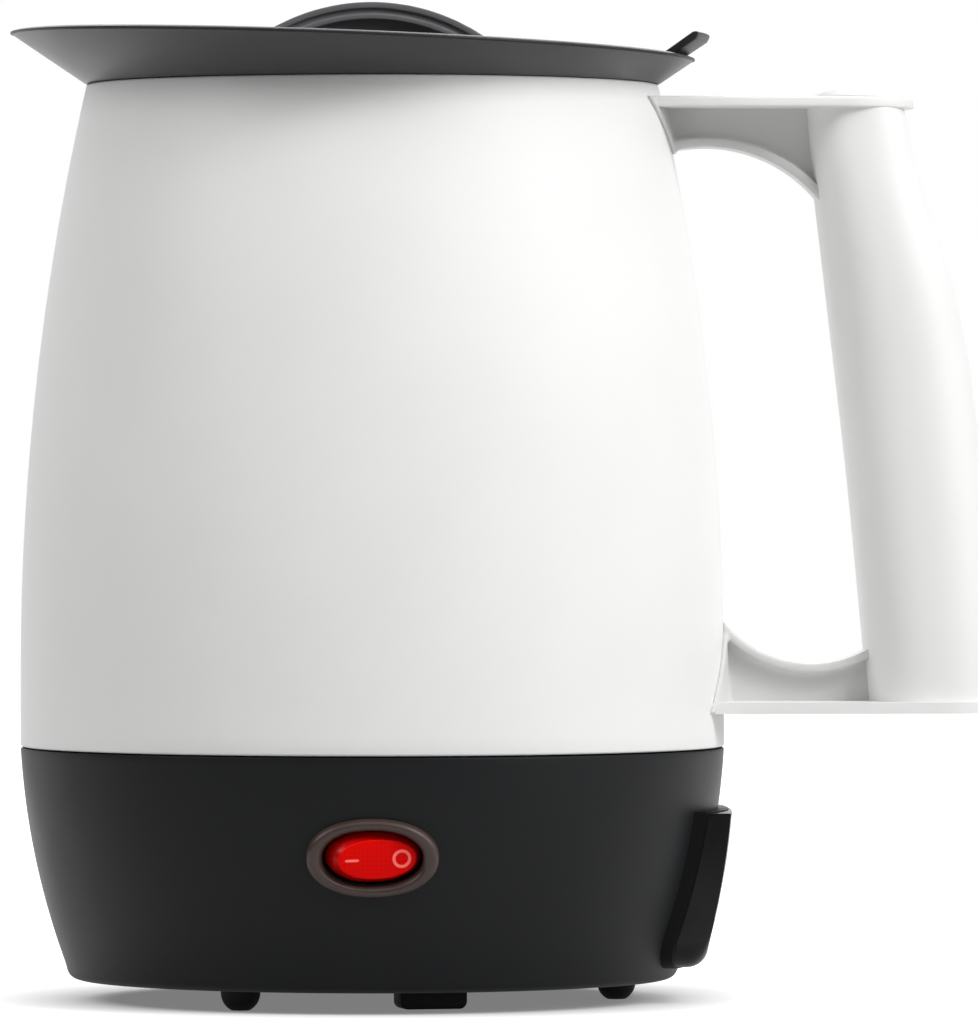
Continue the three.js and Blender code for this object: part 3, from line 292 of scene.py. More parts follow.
# Each moulded skin: its darker and paler screen levels, its span of roughness, the size and depth of its
# grain and the size of its patches in millimetres, and how strongly it mirrors.
SKINS = {
    "white_plastic": ((240, 240, 239), (244, 244, 243), (0.4, 0.46), 6, 0.012, 45, 0.3),
    # The webs' skin is the white plastic made greyer: painted shade for the recess under the plates.
    "web_painted_shade_plastic": ((214, 214, 213), (219, 219, 218), (0.4, 0.46), 6, 0.012, 45, 0.3),
    "charcoal_plastic": ((19, 20, 22), (23, 24, 25), (0.42, 0.5), 0.5, 0.012, 30, 0.12),
    "grey_plastic": ((60, 60, 62), (67, 67, 69), (0.34, 0.42), 0.6, 0.012, 30, 0.25),
    "pale_grey_plastic": ((100, 100, 102), (108, 108, 110), (0.34, 0.42), 0.6, 0.012, 30, 0.4),
    # A darker copy of the lid's grey plastic: painted shade on the lid's lip and thumb tab.
    "painted_shade_grey_plastic": ((38, 38, 40), (44, 44, 46), (0.42, 0.5), 0.6, 0.012, 30, 0.15),
    "black_plastic": ((6, 6, 7), (9, 9, 10), (0.26, 0.34), 0.7, 0.01, 30, 0.2),
    # A blacker copy of the plate's and the inlet's plastic: painted shade under the base and in the inlet's
    # recess.
    "painted_shade_black_plastic": ((3, 3, 3), (5, 5, 5), (0.5, 0.6), 0.7, 0.01, 30, 0.1),
    "black_rubber": ((7, 7, 7), (11, 11, 11), (0.6, 0.75), 0.3, 0.03, 6, 0.25),
    "bezel_plastic": ((56, 44, 40), (66, 52, 47), (0.3, 0.4), 0.5, 0.01, 6, 0.3),
    # A darker copy of the red lens: painted shade on the rocker's flanks.
    "red_flank_painted_shade": ((186, 3, 1), (200, 6, 2), (0.22, 0.3), 0.5, 0.006, 4, 0.3),
    "silicone": ((205, 205, 198), (214, 214, 208), (0.5, 0.65), 0.4, 0.01, 30, 0.5),
    "circuit_board": ((50, 96, 52), (66, 112, 62), (0.3, 0.42), 0.8, 0.01, 4, 0.5),
}
# Each metal: its darker and paler screen levels, its span of roughness, how its grain is stretched along the
# three axes, and the grain's size and depth in millimetres.
METALS = {
    "steel": ((202, 203, 206), (211, 212, 215), (0.27, 0.33), (0.03, 0.03, 1), 0.4, 0.0012),
    "zinc_steel": ((168, 170, 172), (188, 190, 192), (0.34, 0.48), (1, 1, 1), 3, 0.01),
    "brass": ((196, 160, 84), (214, 178, 98), (0.22, 0.34), (0.1, 1, 1), 0.3, 0.004),
    "aluminium": ((200, 201, 204), (216, 217, 220), (0.36, 0.5), (1, 1, 0.2), 1.5, 0.02),
}
FINISHES = {"red_lens": red_lens(), "mark_print_painted_glow": mark_print_painted_glow()}
FINISHES |= {name: moulded(name, *values).material for name, values in SKINS.items()}
FINISHES |= {name: metal(name, *values).material for name, values in METALS.items()}
WIRES = {
    "wire_live_in": insulation("brown", 90, 51, 32),
    "wire_switched": insulation("black", 27, 27, 29),
    "wire_heater": insulation("red", 163, 36, 28),
    "wire_neutral": insulation("blue", 43, 77, 143),
    "wire_earth": insulation("green", 109, 143, 42),
    "wire_motor": insulation("red_motor", 150, 40, 32),
}


# Ways of shaping a mesh.
def turned(points, steps=SPIN_STEPS):
    """A closed outline of (radius, z) points, turned about the Z axis. It may start and end on the axis."""
    bm = bmesh.new()
    verts = [bm.verts.new((radius, 0, z)) for radius, z in points]
    edges = [bm.edges.new(pair) for pair in zip(verts, verts[1:])]
    if points[0][0] > 0 or points[-1][0] > 0:
        edges.append(bm.edges.new((verts[-1], verts[0])))
    bmesh.ops.spin(
        bm, geom=verts + edges, cent=(0, 0, 0), axis=(0, 0, 1), angle=FULL_TURN, steps=steps, use_merge=True
    )
    return merged(bm)


def merged(bm, distance=1e-4):
    bmesh.ops.remove_doubles(bm, verts=bm.verts, dist=distance)
    bmesh.ops.recalc_face_normals(bm, faces=bm.faces)
    return bm


def arc(radius, start, end, steps, x=0, z=0):
    """Points round a centre, from one angle to another, in degrees."""
    angles = [radians(start + (end - start) * i / steps) for i in range(steps + 1)]
    return [(x + radius * cos(a), z + radius * sin(a)) for a in angles]


def wall(radius_at, start, end, steps):
    heights = [start + (end - start) * i / steps for i in range(steps + 1)]
    return [(radius_at(z), z) for z in heights]


def raised(outline, bottom, top):
    """An outline in plan, raised from bottom to top."""
    bm = bmesh.new()
    face = bm.faces.new([bm.verts.new((x, y, bottom)) for x, y in outline])
    grown = bmesh.ops.extrude_face_region(bm, geom=[face])
    new_verts = [item for item in grown["geom"] if isinstance(item, bmesh.types.BMVert)]
    bmesh.ops.translate(bm, vec=(0, 0, top - bottom), verts=new_verts)
    return merged(bm)


def drawn_out(outline, half):
    """An outline in the XZ plane, drawn out from -half to half along Y."""
    return merged(turned_by(raised(outline, -half, half), 90, "X"))


def block(x0, x1, y0, y1, z0, z1):
    return raised([(x0, y0), (x1, y0), (x1, y1), (x0, y1)], z0, z1)


def disc(radius, bottom, top, x=0, steps=SMALL_SPIN_STEPS):
    return moved(turned([(0, bottom), (radius, bottom), (radius, top), (0, top)], steps), x)


def rod_x(radius, x0, x1, y, z):
    """A rod along X."""
    return moved(turned_by(disc(radius, x0, x1), 90, "Y"), 0, y, z)


def moved(bm, x=0, y=0, z=0):
    bmesh.ops.translate(bm, vec=(x, y, z), verts=bm.verts)
    return bm


def turned_by(bm, angle, axis="Z", centre=(0, 0, 0)):
    bmesh.ops.rotate(bm, cent=centre, matrix=Matrix.Rotation(radians(angle), 3, axis), verts=bm.verts)
    return bm


def at(bm, ring, angle):
    """The piece is moved out by ring along X and then turned about the jug's axis."""
    return turned_by(moved(bm, ring), angle)


def softened(bm, width, segments=3, sharper_than=35):
    """Every edge that is sharper than an angle gets a round of the given width."""
    limit = radians(sharper_than)
    sharp = [e for e in bm.edges if len(e.link_faces) == 2 and e.calc_face_angle(0) > limit]
    bmesh.ops.bevel(
        bm, geom=sharp, offset=width, offset_type="OFFSET", segments=segments, profile=0.5,
        affect="EDGES", clamp_overlap=True, material=-1,
    )
    return merged(bm)


def oval_place(angle, half_x, half_y, squareness):
    """A point of a superellipse: squareness 2 is an ellipse, and more is fuller towards the corners."""
    c, s = cos(angle), sin(angle)
    x = half_x * copysign(abs(c) ** (2 / squareness), c)
    y = half_y * copysign(abs(s) ** (2 / squareness), s)
    return x, y


def skinned(sections, squareness, sides=72, looped=False):
    """Skins rounded ovals, each (centre x, half x, half y, z). Looped joins the last to the first."""
    bm = bmesh.new()
    first = bmesh.ops.create_circle(bm, segments=sides, radius=1)["verts"]
    rim = list({edge for vert in first for edge in vert.link_edges})
    last_rim = rim
    for _ in sections[1:]:
        grown = bmesh.ops.extrude_edge_only(bm, edges=last_rim)["geom"]
        bmesh.ops.translate(bm, vec=(0, 0, 1), verts=[g for g in grown if isinstance(g, bmesh.types.BMVert)])
        last_rim = [g for g in grown if isinstance(g, bmesh.types.BMEdge)]
    if looped:
        bmesh.ops.bridge_loops(bm, edges=rim + last_rim)
    else:
        bmesh.ops.holes_fill(bm, edges=rim + last_rim, sides=0)
    for vert in bm.verts:
        centre_x, half_x, half_y, z = sections[round(vert.co.z)]
        x, y = oval_place(atan2(vert.co.y, vert.co.x), half_x, half_y, squareness)
        vert.co = (centre_x + x, y, z)
    return merged(bm)


def as_object(bm, name="tool"):
    mesh = bpy.data.meshes.new(name)
    bm.to_mesh(mesh)
    bm.free()
    thing = bpy.data.objects.new(name, mesh)
    scene.collection.objects.link(thing)
    return thing


def with_modifiers(bm, add_modifiers):
    """The mesh as it is once the modifiers that add_modifiers puts on it are applied."""
    thing = as_object(bm)
    add_modifiers(thing)
    seen = thing.evaluated_get(bpy.context.evaluated_depsgraph_get())
    result = bmesh.new()
    result.from_mesh(seen.to_mesh())
    bpy.data.objects.remove(thing)
    return result


def combined(bm, operation, tools):
    helpers = [as_object(tool) for tool in tools]

    def booleans(thing):
        for helper in helpers:
            modifier = thing.modifiers.new("boolean", "BOOLEAN")
            modifier.operation = operation
            modifier.solver = "EXACT"
            modifier.object = helper

    result = with_modifiers(bm, booleans)
    for helper in helpers:
        bpy.data.objects.remove(helper)
    return result


def cut(bm, *tools):
    return combined(bm, "DIFFERENCE", tools)


def joined(bm, *tools):
    return combined(bm, "UNION", tools)


def common(bm, *tools):
    return combined(bm, "INTERSECT", tools)


def melted(bm, voxel):
    """One even skin over a piece made of several, with a small fillet wherever two surfaces meet."""

    def remesh(thing):
        modifier = thing.modifiers.new("skin", "REMESH")
        modifier.mode = "VOXEL"
        modifier.voxel_size = voxel

    result = with_modifiers(bm, remesh)
    for _ in range(SMOOTH_ROUNDS):
        bmesh.ops.smooth_vert(
            result, verts=result.verts, factor=0.5, use_axis_x=True, use_axis_y=True, use_axis_z=True
        )
    return result


def open_rims(bm):
    return [edge for edge in bm.edges if edge.is_boundary]


def bisected(bm, point, normal):
    """Takes away what lies on the normal's side of a plane, and leaves the cut open."""
    everything = bm.verts[:] + bm.edges[:] + bm.faces[:]
    bmesh.ops.bisect_plane(bm, geom=everything, dist=1e-5, plane_co=point, plane_no=normal, clear_outer=True)
    return bm


def sliced(bm, point, normal):
    """The same, with the cut closed."""
    bisected(bm, point, normal)
    bmesh.ops.holes_fill(bm, edges=open_rims(bm), sides=0)
    return merged(bm)


def piece(name, bm, finish, node, body="housing", sharp_angle=40, second_finish=None):
    """Moves a shape into the frame as a finished piece that rides on a body and stands for a CAD node."""
    bm.transform(JUG_TO_FRAME)
    limit = radians(sharp_angle)
    for face in bm.faces:
        face.smooth = True
    for edge in bm.edges:
        edge.smooth = len(edge.link_faces) == 2 and edge.calc_face_angle(0) < limit
    thing = as_object(bm, name)
    thing.data.materials.append(FINISHES[finish])
    if second_finish:
        thing.data.materials.append(FINISHES[second_finish])
    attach(thing, body)
    if node:
        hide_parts(node)


# The shells.
def bulged(shell, away):
    """A shell's radius at a height that is so far away from where its bulge is widest."""
    return shell.widest - shell.bulge_radius + sqrt(shell.bulge_radius**2 - away**2)


def barrel_radius(z):
    return bulged(BARREL, max(0, z - BARREL.bulge_z))


def base_radius(z):
    return bulged(BASE, BASE.bulge_z - z)


def solid(radius_at, bottom, top, steps, grow):
    return turned([(0, bottom), *wall(lambda z: radius_at(z) + grow, bottom, top, steps), (0, top)])


def barrel_solid(grow):
    return solid(barrel_radius, BARREL.bottom, BARREL.top, 24, grow)


def base_solid(grow):
    return solid(base_radius, BASE.bottom, BARREL.bottom, 16, grow)


def make_barrel():
    bottom, top = BARREL.bottom + GAP / 2, BARREL.top
    ledge = VESSEL_LEDGE

    def inside(z):
        return barrel_radius(z) - BARREL.wall

    outline = [
        *wall(barrel_radius, bottom, top, 40), (inside(top), top), (inside(ledge.top), ledge.top),
        (ledge.inner, ledge.top), (ledge.inner, ledge.tip), *wall(inside, ledge.root, bottom, 16),
    ]
    piece("barrel_shell", softened(turned(outline), BARREL.edge), "white_plastic", "body_shell")


def thirds(first):
    return (first, first + 120, first + 240)


def make_base():
    def inside(z):
        return base_radius(z) - BASE.wall

    radius = BASE.round
    round_z = BASE.bottom + radius
    top = BARREL.bottom - GAP / 2
    inner = SPIGOT.outer - SPIGOT.wall
    outline = [
        *arc(radius, -90, -12, 8, base_radius(round_z) - radius, round_z),
        *wall(base_radius, round_z + 1, top, 30), (SPIGOT.outer, top), (SPIGOT.outer, SPIGOT.top),
        (inner, SPIGOT.top), (inner, SPIGOT.floor), *wall(inside, SPIGOT.root, LEDGE.top, 8),
        (LEDGE.inner, LEDGE.top), (LEDGE.inner, LEDGE.bottom), (LEDGE.rebate, LEDGE.bottom),
        (LEDGE.rebate, BASE.bottom),
    ]
    rim = SOCKET.wall + SOCKET.clear
    half_y, half_z = SOCKET.half_width + rim, SOCKET.half_height + rim
    socket_way = block(INNER_X, FAR, -half_y, half_y, SOCKET.z - half_z, SOCKET.z + half_z)
    tube_x, tube_y = BEZEL.tube
    switch_way = skinned([(0, tube_x + GAP, tube_y + GAP, z) for z in BEZEL.way], SWITCH_OVAL)
    shell = cut(softened(turned(outline), BASE.edge), socket_way, placed(switch_way, SWITCH_PLACE))
    piece("base_bowl", shell, "charcoal_plastic", "base_shell")


def catch_lug(bottom):
    half, radius = LUG.width / 2, LUG.round
    low, root = bottom + radius, PLATE.bottom + LUG.sunk
    outline = [
        (-half, root), *arc(radius, 180, 270, 6, radius - half, low),
        *arc(radius, 270, 360, 6, half - radius, low), (half, root),
    ]
    depth = (LUG.far - LUG.near) / 2
    lug = softened(turned_by(drawn_out(outline, depth), 90), LUG.edge)
    return moved(lug, LUG.near + depth)


def make_bottom_plate():
    panel = softened(disc(PLATE.radius, PLATE.bottom, PLATE.top, steps=SPIN_STEPS), PLATE.edge)
    ring = BASE_SCREW.ring
    low, high = CUP.way
    adds, takes = [], []
    for angle in thirds(BASE_SCREW.first_angle):
        adds.append(at(disc(CUP.radius, PLATE.bottom + CUP.sunk, CUP.top), ring, angle))
        takes.append(at(disc(CUP.pocket, low, CUP.floor), ring, angle))
        takes.append(at(disc(CUP.hole, low, high), ring, angle))
    piece("base_plate", cut(joined(panel, *adds), *takes), "charcoal_plastic", "bottom_plate")


def make_catches():
    places = zip(LUG.bottoms, thirds(LUG.first_angle))
    lugs = [turned_by(catch_lug(bottom), angle) for bottom, angle in places]
    # The lugs take a blacker copy of the plate's plastic, as painted shade under the base.
    piece("plate_catches", joined(*lugs), "painted_shade_black_plastic", "bottom_plate")


def make_feet():
    """A foot is a dome with a flat, and a barbed stem that holds it in the bottom plate."""
    radius, stem, shoulder = FOOT.radius, FOOT.stem, PLATE.bottom - GAP
    edge_angle = degrees(acos(FOOT.flat / radius))
    centre_z = radius * sin(radians(edge_angle))
    outline = [
        (0, 0), *arc(radius, -edge_angle, 0, 12, 0, centre_z), (radius, shoulder), (stem, shoulder),
        (stem, FOOT.barb_low), (FOOT.barb, FOOT.barb_low), (stem, FOOT.barb_top), (0, FOOT.barb_top),
    ]
    for number, angle in enumerate(thirds(FOOT.first_angle), 1):
        foot = at(turned(outline, SMALL_SPIN_STEPS), FOOT.ring, angle)
        piece(f"rubber_foot_{number}", foot, "black_rubber", f"foot_{number}")


# A screw's point is a share of its radius, and its cross and its head's upright edge are shares of its head.
SCREW_SHARES = Sizes(tip=0.4, point=1.4, edge=0.35, cross_reach=0.55, cross_half=0.1)
CROSS_TURN = 20


def pan_screw(screw):
    """A cross-head screw that points down, with the under side of its head at Z = 0."""
    radius, head, tall, length = screw.radius, screw.head, screw.head_tall, screw.deep
    edge = tall * SCREW_SHARES.edge
    outline = [
        (0, -length), (radius * SCREW_SHARES.tip, -length), (radius, -length + radius * SCREW_SHARES.point),
        (radius, 0), (head, 0), (head, edge),
        *[(head * cos(a), edge + (tall - edge) * sin(a)) for a in (0.35, 0.7, 1.05, 1.35)],
        (0, tall),
    ]
    reach, half = head * SCREW_SHARES.cross_reach, head * SCREW_SHARES.cross_half
    slots = [block(-reach, reach, -half, half, edge, tall + 1) for _ in range(2)]
    return cut(turned(outline, 32), turned_by(slots[0], CROSS_TURN), turned_by(slots[1], CROSS_TURN + 90))


def make_bottom_screws():
    for number, angle in enumerate(thirds(BASE_SCREW.first_angle), 1):
        screw = moved(turned_by(pan_screw(BASE_SCREW), 180, "X"), 0, 0, CUP.floor - GAP)
        screw = at(screw, BASE_SCREW.ring, angle)
        piece(f"base_screw_{number}", screw, "zinc_steel", f"bottom_screw_{number}")


# The collar, the lid and its grip.
SLOPE = tan(radians(COLLAR.slope))
SLOPE_COS = cos(radians(COLLAR.slope))
SLOPE_SIN = sin(radians(COLLAR.slope))
CONE_ROOT = barrel_radius(BARREL.top)
CONE_TOP = 215
RIM_UP = Vector((sin(radians(RIM.tilt)), 0, cos(radians(RIM.tilt))))


def cone_z(radius, lift):
    return BARREL.top + (radius - CONE_ROOT) * SLOPE + lift / SLOPE_COS


def cone_radius(z, lift):
    return CONE_ROOT + (z - BARREL.top - lift / SLOPE_COS) / SLOPE


def rim_z(x, drop=0):
    return RIM.right_z - drop + (RIM.right_x - x) * tan(radians(RIM.tilt))


def below_rim(bm, drop):
    return sliced(bm, (0, 0, rim_z(0, drop)), RIM_UP)


def above_rim(bm, drop):
    return sliced(bm, (0, 0, rim_z(0, drop)), -RIM_UP)


def make_collar():
    skirt_z, seat = COLLAR.skirt_z, COLLAR.seat
    throat_z = cone_z(COLLAR.throat, COLLAR.wall)
    outline = [
        (COLLAR.bore, skirt_z), (COLLAR.skirt, skirt_z), (COLLAR.skirt, seat), (cone_radius(seat, 0), seat),
        (cone_radius(CONE_TOP, 0), CONE_TOP), (cone_radius(CONE_TOP, COLLAR.wall), CONE_TOP),
        (COLLAR.throat, throat_z), (COLLAR.bore, throat_z - COLLAR.throat_drop),
    ]
    funnel = bisected(turned(outline, FINE_SPIN_STEPS), (0, 0, rim_z(0)), RIM_UP)
    bmesh.ops.bridge_loops(funnel, edges=open_rims(funnel))
    piece("funnel_collar", softened(merged(funnel), COLLAR.edge, 4, 30), "grey_plastic", "collar")


def funnel_core(clear):
    """What fits in the funnel, at the given distance from its inner face."""
    lift = COLLAR.wall + clear
    bore = COLLAR.bore - clear
    throat = COLLAR.throat - clear
    return turned([
        (0, TOP_SPAN[0]), (bore, TOP_SPAN[0]), (bore, cone_z(throat, lift) - COLLAR.throat_drop),
        (throat, cone_z(throat, lift)), (cone_radius(CONE_TOP, lift), CONE_TOP), (0, CONE_TOP),
    ], FINE_SPIN_STEPS)


def thumb_tab():
    """A sector of a cone that lies on the collar's own, with short facets round its tip."""
    low = COLLAR.wall + GAP
    high = low + TAB.thick
    root, reach = TAB.root, TAB.reach
    tip = reach - TAB.thick * SLOPE_SIN / 2
    band = turned([
        (root, cone_z(root, low)), (reach - 0.5, cone_z(reach - 0.5, low)),
        (reach + 0.1, cone_z(reach, low + 0.7)), (tip, cone_z(tip, high - 0.3)),
        (tip - 0.8, cone_z(tip - 0.8, high)), (root, cone_z(root, high)),
    ])
    sector = raised([(0, 0), *arc(FAR, -TAB.half_angle, TAB.half_angle, 4)], *TOP_SPAN)
    return common(band, sector)


def make_lid():
    dish = above_rim(below_rim(funnel_core(GAP), -LID.lift), LID.depth + LID.wall)
    hollow = above_rim(funnel_core(GAP + LID.wall), LID.depth)
    spout_gap = block(-FAR, LID.notch_x, -LID.notch_half, LID.notch_half, *TOP_SPAN)
    dish = melted(cut(dish, hollow, below_rim(spout_gap, -LID.lift)), LID.voxel)
    piece("lift_off_lid", dish, "grey_plastic", "lid", "lid")
    # The lip and the tab take a darker copy of the lid's grey plastic, as painted shade on its edge and tab.
    piece("lid_lip", lid_lip(), "painted_shade_grey_plastic", "lid", "lid", 60)
    tab = softened(thumb_tab(), TAB.edge, 3, 30)
    piece("thumb_tab", tab, "painted_shade_grey_plastic", "lid", "lid", 30)


def lid_lip():
    """The rim is a slanting section of the cone, so it is all but a circle, off the jug's axis."""
    lean = tan(radians(RIM.tilt)) / SLOPE
    far_x = -RIM.right_x * (1 + lean) / (1 - lean)
    middle_x = (RIM.right_x + far_x) / 2
    rim_radius = (RIM.right_x - far_x) / 2
    inner = rim_radius - (COLLAR.wall + GAP + LID.wall) / SLOPE_SIN
    outer = rim_radius + LID.overhang
    low, high = LID.lip_low, LID.lift + LID.lip
    lip = turned([
        (inner - 0.4, low - 0.4), (outer, low), (outer, low + 0.3), (outer - 0.15, low + 0.42),
        (outer - 1.2, high - 0.06), (outer - 1.5, high), (inner + 0.6, high), (inner + 0.15, high - 0.15),
    ], 240)
    return moved(turned_by(lip, RIM.tilt, "Y"), middle_x, 0, rim_z(middle_x))


def make_lid_grip():
    """The cross-section of the arched fin, with its nested bands, is turned about the arch's centre."""
    seat = rim_z(0, LID.depth) + GAP
    radius, half = FIN.radius, FIN.thick / 2
    centre_z = FIN.top - radius
    web, groove_floor = half - FIN.pocket_deep, half - FIN.groove_deep
    outer_ridge = radius - FIN.border
    inner_ridge = outer_ridge - FIN.groove
    pocket = inner_ridge - FIN.ridge
    side = [
        (FIN.inner, web), (pocket, web), (pocket, half), (inner_ridge, half), (inner_ridge, groove_floor),
        (outer_ridge, groove_floor), (outer_ridge, half), (radius, half),
    ]
    bm = bmesh.new()
    section = side + [(place, -y) for place, y in reversed(side)]
    verts = [bm.verts.new((place, y, 0)) for place, y in section]
    edges = [bm.edges.new(pair) for pair in zip(verts, verts[1:] + verts[:1])]
    turned_by(bm, (FIN.span - 180) / 2, "Y")
    sweep = radians(FIN.span)
    bmesh.ops.spin(bm, geom=verts + edges, cent=(0, 0, 0), axis=(0, -1, 0), angle=sweep, steps=96)
    bmesh.ops.holes_fill(bm, edges=open_rims(bm), sides=0)
    arch = moved(softened(merged(bm), FIN.edge, 3, 50), 0, 0, centre_z)
    arch = sliced(arch, (0, 0, seat), (0, 0, -1))
    rail = drawn_out([place for place in arc(radius, 0, 180, 160, 0, centre_z) if seat <= place[1]], half)
    rail = sliced(rail, (0, 0, seat + FIN.rail), (0, 0, 1))
    grip = moved(turned_by(joined(arch, rail), RIM.tilt, "Y", (0, 0, seat)), FIN.seat_x)
    piece("lid_fin", grip, "pale_grey_plastic", "lid_grip", "lid", 30)


# The handle.
def edge_at(edge, z):
    """A smooth curve through the grip's edge points, read at one height."""
    heights, places = GRIP_EDGE["z"], GRIP_EDGE[edge]
    slopes = [(b - a) / (d - c) for a, b, c, d in zip(places, places[1:], heights, heights[1:])]
    tangents = [slopes[0], *[(a + b) / 2 for a, b in zip(slopes, slopes[1:])], slopes[-1]]
    k = max(i for i in range(len(heights) - 1) if i == 0 or heights[i] <= z)
    span = heights[k + 1] - heights[k]
    t = (z - heights[k]) / span
    start = places[k] * (1 + 2 * t) * (1 - t) ** 2 + tangents[k] * span * t * (1 - t) ** 2
    end = places[k + 1] * t**2 * (3 - 2 * t) + tangents[k + 1] * span * t**2 * (t - 1)
    return start + end


def make_grip():
    """The column's two ends are sunk in the brackets' plates."""
    low, high = GRIP.bottom - GRIP.sunk, GRIP.top + GRIP.sunk
    sections = []
    for z in (low + (high - low) * i / GRIP_LEVELS for i in range(GRIP_LEVELS + 1)):
        share = (z - GRIP.bottom) / (GRIP.top - GRIP.bottom)
        inner, outer = edge_at("inner", z), edge_at("outer", z)
        half_y = GRIP.bottom_half + (GRIP.top_half - GRIP.bottom_half) * share
        sections.append(((inner + outer) / 2, (outer - inner) / 2, half_y, z))
    column = skinned(sections, GRIP.squareness, 96)
    piece("handle_column", column, "white_plastic", "handle_grip", sharp_angle=50)


def tongue(plate):
    """A plate with a round far end, seen in plan."""
    half, radius = plate.half_width, plate.end_radius
    outline = [(INNER_X, -half), *arc(radius, -86, 86, 40, plate.end_x - radius), (INNER_X, half)]
    return raised(outline, plate.bottom, plate.top)


def along_x(outline, start, end):
    """An outline in the YZ plane, drawn out along X."""
    bm = raised(outline, start, end)
    turn = Matrix.Rotation(radians(90), 3, "Z") @ Matrix.Rotation(radians(90), 3, "X")
    bmesh.ops.rotate(bm, cent=(0, 0, 0), matrix=turn, verts=bm.verts)
    return bm


def hugging_pad(pad, plate_z):
    """A thin skin on the barrel behind a bracket narrows from the plate to the root of the arch."""
    wide, narrow, root_z = pad.wide, pad.narrow, pad.z
    outline = [(-wide, plate_z), (wide, plate_z), (narrow, root_z), (-narrow, root_z)]
    return common(barrel_solid(GAP + BRACKET.pad), along_x(outline, INNER_X, FAR))


def arch_curve(arch, grow=0):
    return arc(arch.radius + grow, arch.start, arch.end, 48, arch.x, arch.z)


def make_bracket(name, web_outline, arch, pad, plate, ways):
    """A bracket is a flat plate, and a web with an arched flange and a pad on the barrel."""
    node = f"handle_{name}_bracket"
    edging = [*arch_curve(arch), *reversed(arch_curve(arch, BRACKET.flange))]
    web = joined(drawn_out(web_outline, BRACKET.web), drawn_out(edging, arch.flange_half), pad)
    web = melted(cut(web, barrel_solid(-BRACKET.sunk)), BRACKET.voxel)
    # The web takes a greyer copy of the white plastic: painted shade in the recess between plate, flange and
    # grip.
    piece(f"{name}_web", web, "web_painted_shade_plastic", node, sharp_angle=60)
    flat = softened(cut(tongue(plate), barrel_solid(-BRACKET.sunk), *ways), BRACKET.edge, 4)
    piece(f"{name}_plate", flat, "white_plastic", node, sharp_angle=30)


def make_upper_bracket():
    web_top = TOP_PLATE.top - BRACKET.web_inset
    web = [*arch_curve(TOP_ARCH), (INNER_X, web_top), (TOP_ARCH.grip_x, web_top)]
    pad = hugging_pad(TOP_PAD, TOP_PLATE.top - BRACKET.pad_inset)
    cap_hole = disc(GRIP_SCREW.bore, TOP_SPAN[0], TOP_SPAN[1], DOME.x)
    make_bracket("upper", web, TOP_ARCH, pad, TOP_PLATE, [cap_hole])


def make_lower_bracket():
    low = LOW_PLATE.bottom
    web_low, root_x = low + BRACKET.web_inset, LOW_ARCH.root_x
    web = [*arch_curve(LOW_ARCH), (LOW_ARCH.grip_x, web_low), (root_x, web_low), (root_x, LOW_PAD.z)]
    pad = hugging_pad(LOW_PAD, low + BRACKET.pad_inset)
    below = low - GRIP_SCREW.deep
    screw_way = disc(GRIP_SCREW.bore, below, LOW_PLATE.top + 1, LOW_SCREW_X)
    head_way = disc(GRIP_SCREW.head + GAP, below, low + GRIP_SCREW.head_tall + GAP, LOW_SCREW_X)
    make_bracket("lower", web, LOW_ARCH, pad, LOW_PLATE, [screw_way, head_way])


def make_dome_cap():
    seat, peak, radius = TOP_PLATE.top + GAP, DOME.peak, DOME.radius
    angles = [radians(90 * i / 12) for i in range(12)]
    outside = [(radius * cos(a), seat + (peak - seat) * sin(a) ** DOME.fullness) for a in angles]
    inner, under = radius - DOME.rim, peak - DOME.wall
    inside = [(0, under), (DOME.hollow_top, under), (inner, under - DOME.chamfer), (inner, seat)]
    cap = softened(turned([*outside, (0, peak), *inside], 96), DOME.edge)
    piece("screw_cap", moved(cap, DOME.x), "white_plastic", "handle_cap")


def make_grip_screw():
    screw = turned_by(pan_screw(GRIP_SCREW), 180, "X")
    screw = moved(screw, LOW_SCREW_X, 0, LOW_PLATE.bottom + GRIP_SCREW.head_tall)
    piece("grip_screw_below", screw, "zinc_steel", "grip_low_screw")


# The power inlet.
def low_rise(shape, y):
    """How far the two rounded lower corners lift the under side, at a place across the inlet."""
    radius = shape.low_round
    inset = max(0, abs(y) - shape.half + radius)
    return radius - sqrt(max(0, radius**2 - inset**2))


def across(shape):
    right = [shape.half - shape.low_round * (1 - sin(radians(a))) for a in range(0, 91, 15)]
    return [*[-y for y in reversed(right)], 0, *right]


def inlet_outline(y):
    """The block's outer face leans out towards the table and is a little bowed across."""
    bow = INLET_FACE.bow * (y / INLET.half) ** 2

    def face(z):
        return base_radius(z) + INLET.proud + (INLET.top - z) * INLET_FACE.lean - bow

    floor_z = INLET.bottom + low_rise(INLET, y)
    corner_z = floor_z + INLET.corner
    corner = arc(INLET.corner, -6, -90, 8, face(corner_z) - INLET.corner, corner_z)
    inner_x = INLET.inner_x
    outline = [(inner_x, INLET.top), *wall(face, INLET.top, corner_z, 14), *corner, (inner_x, floor_z)]
    return [(x, y, z) for x, z in outline]


def bridged(outlines):
    """Closed outlines in space, one after another, bridged into one closed skin."""
    bm = bmesh.new()
    rims = []
    for outline in outlines:
        verts = [bm.verts.new(point) for point in outline]
        rims.append([bm.edges.new(pair) for pair in zip(verts, verts[1:] + verts[:1])])
    for near, far in zip(rims, rims[1:]):
        bmesh.ops.bridge_loops(bm, edges=near + far)
    bmesh.ops.holes_fill(bm, edges=rims[0] + rims[-1], sides=0)
    return merged(bm)


def inlet_root():
    lower = [(y, INLET_ROOT.bottom + low_rise(INLET_ROOT, y)) for y in across(INLET_ROOT)]
    half, top = INLET_ROOT.half, INLET_ROOT.top
    edge = along_x([*lower, (half, top), (-half, top)], INNER_X, FAR)
    return common(base_solid(GAP + INLET_ROOT.depth), edge)


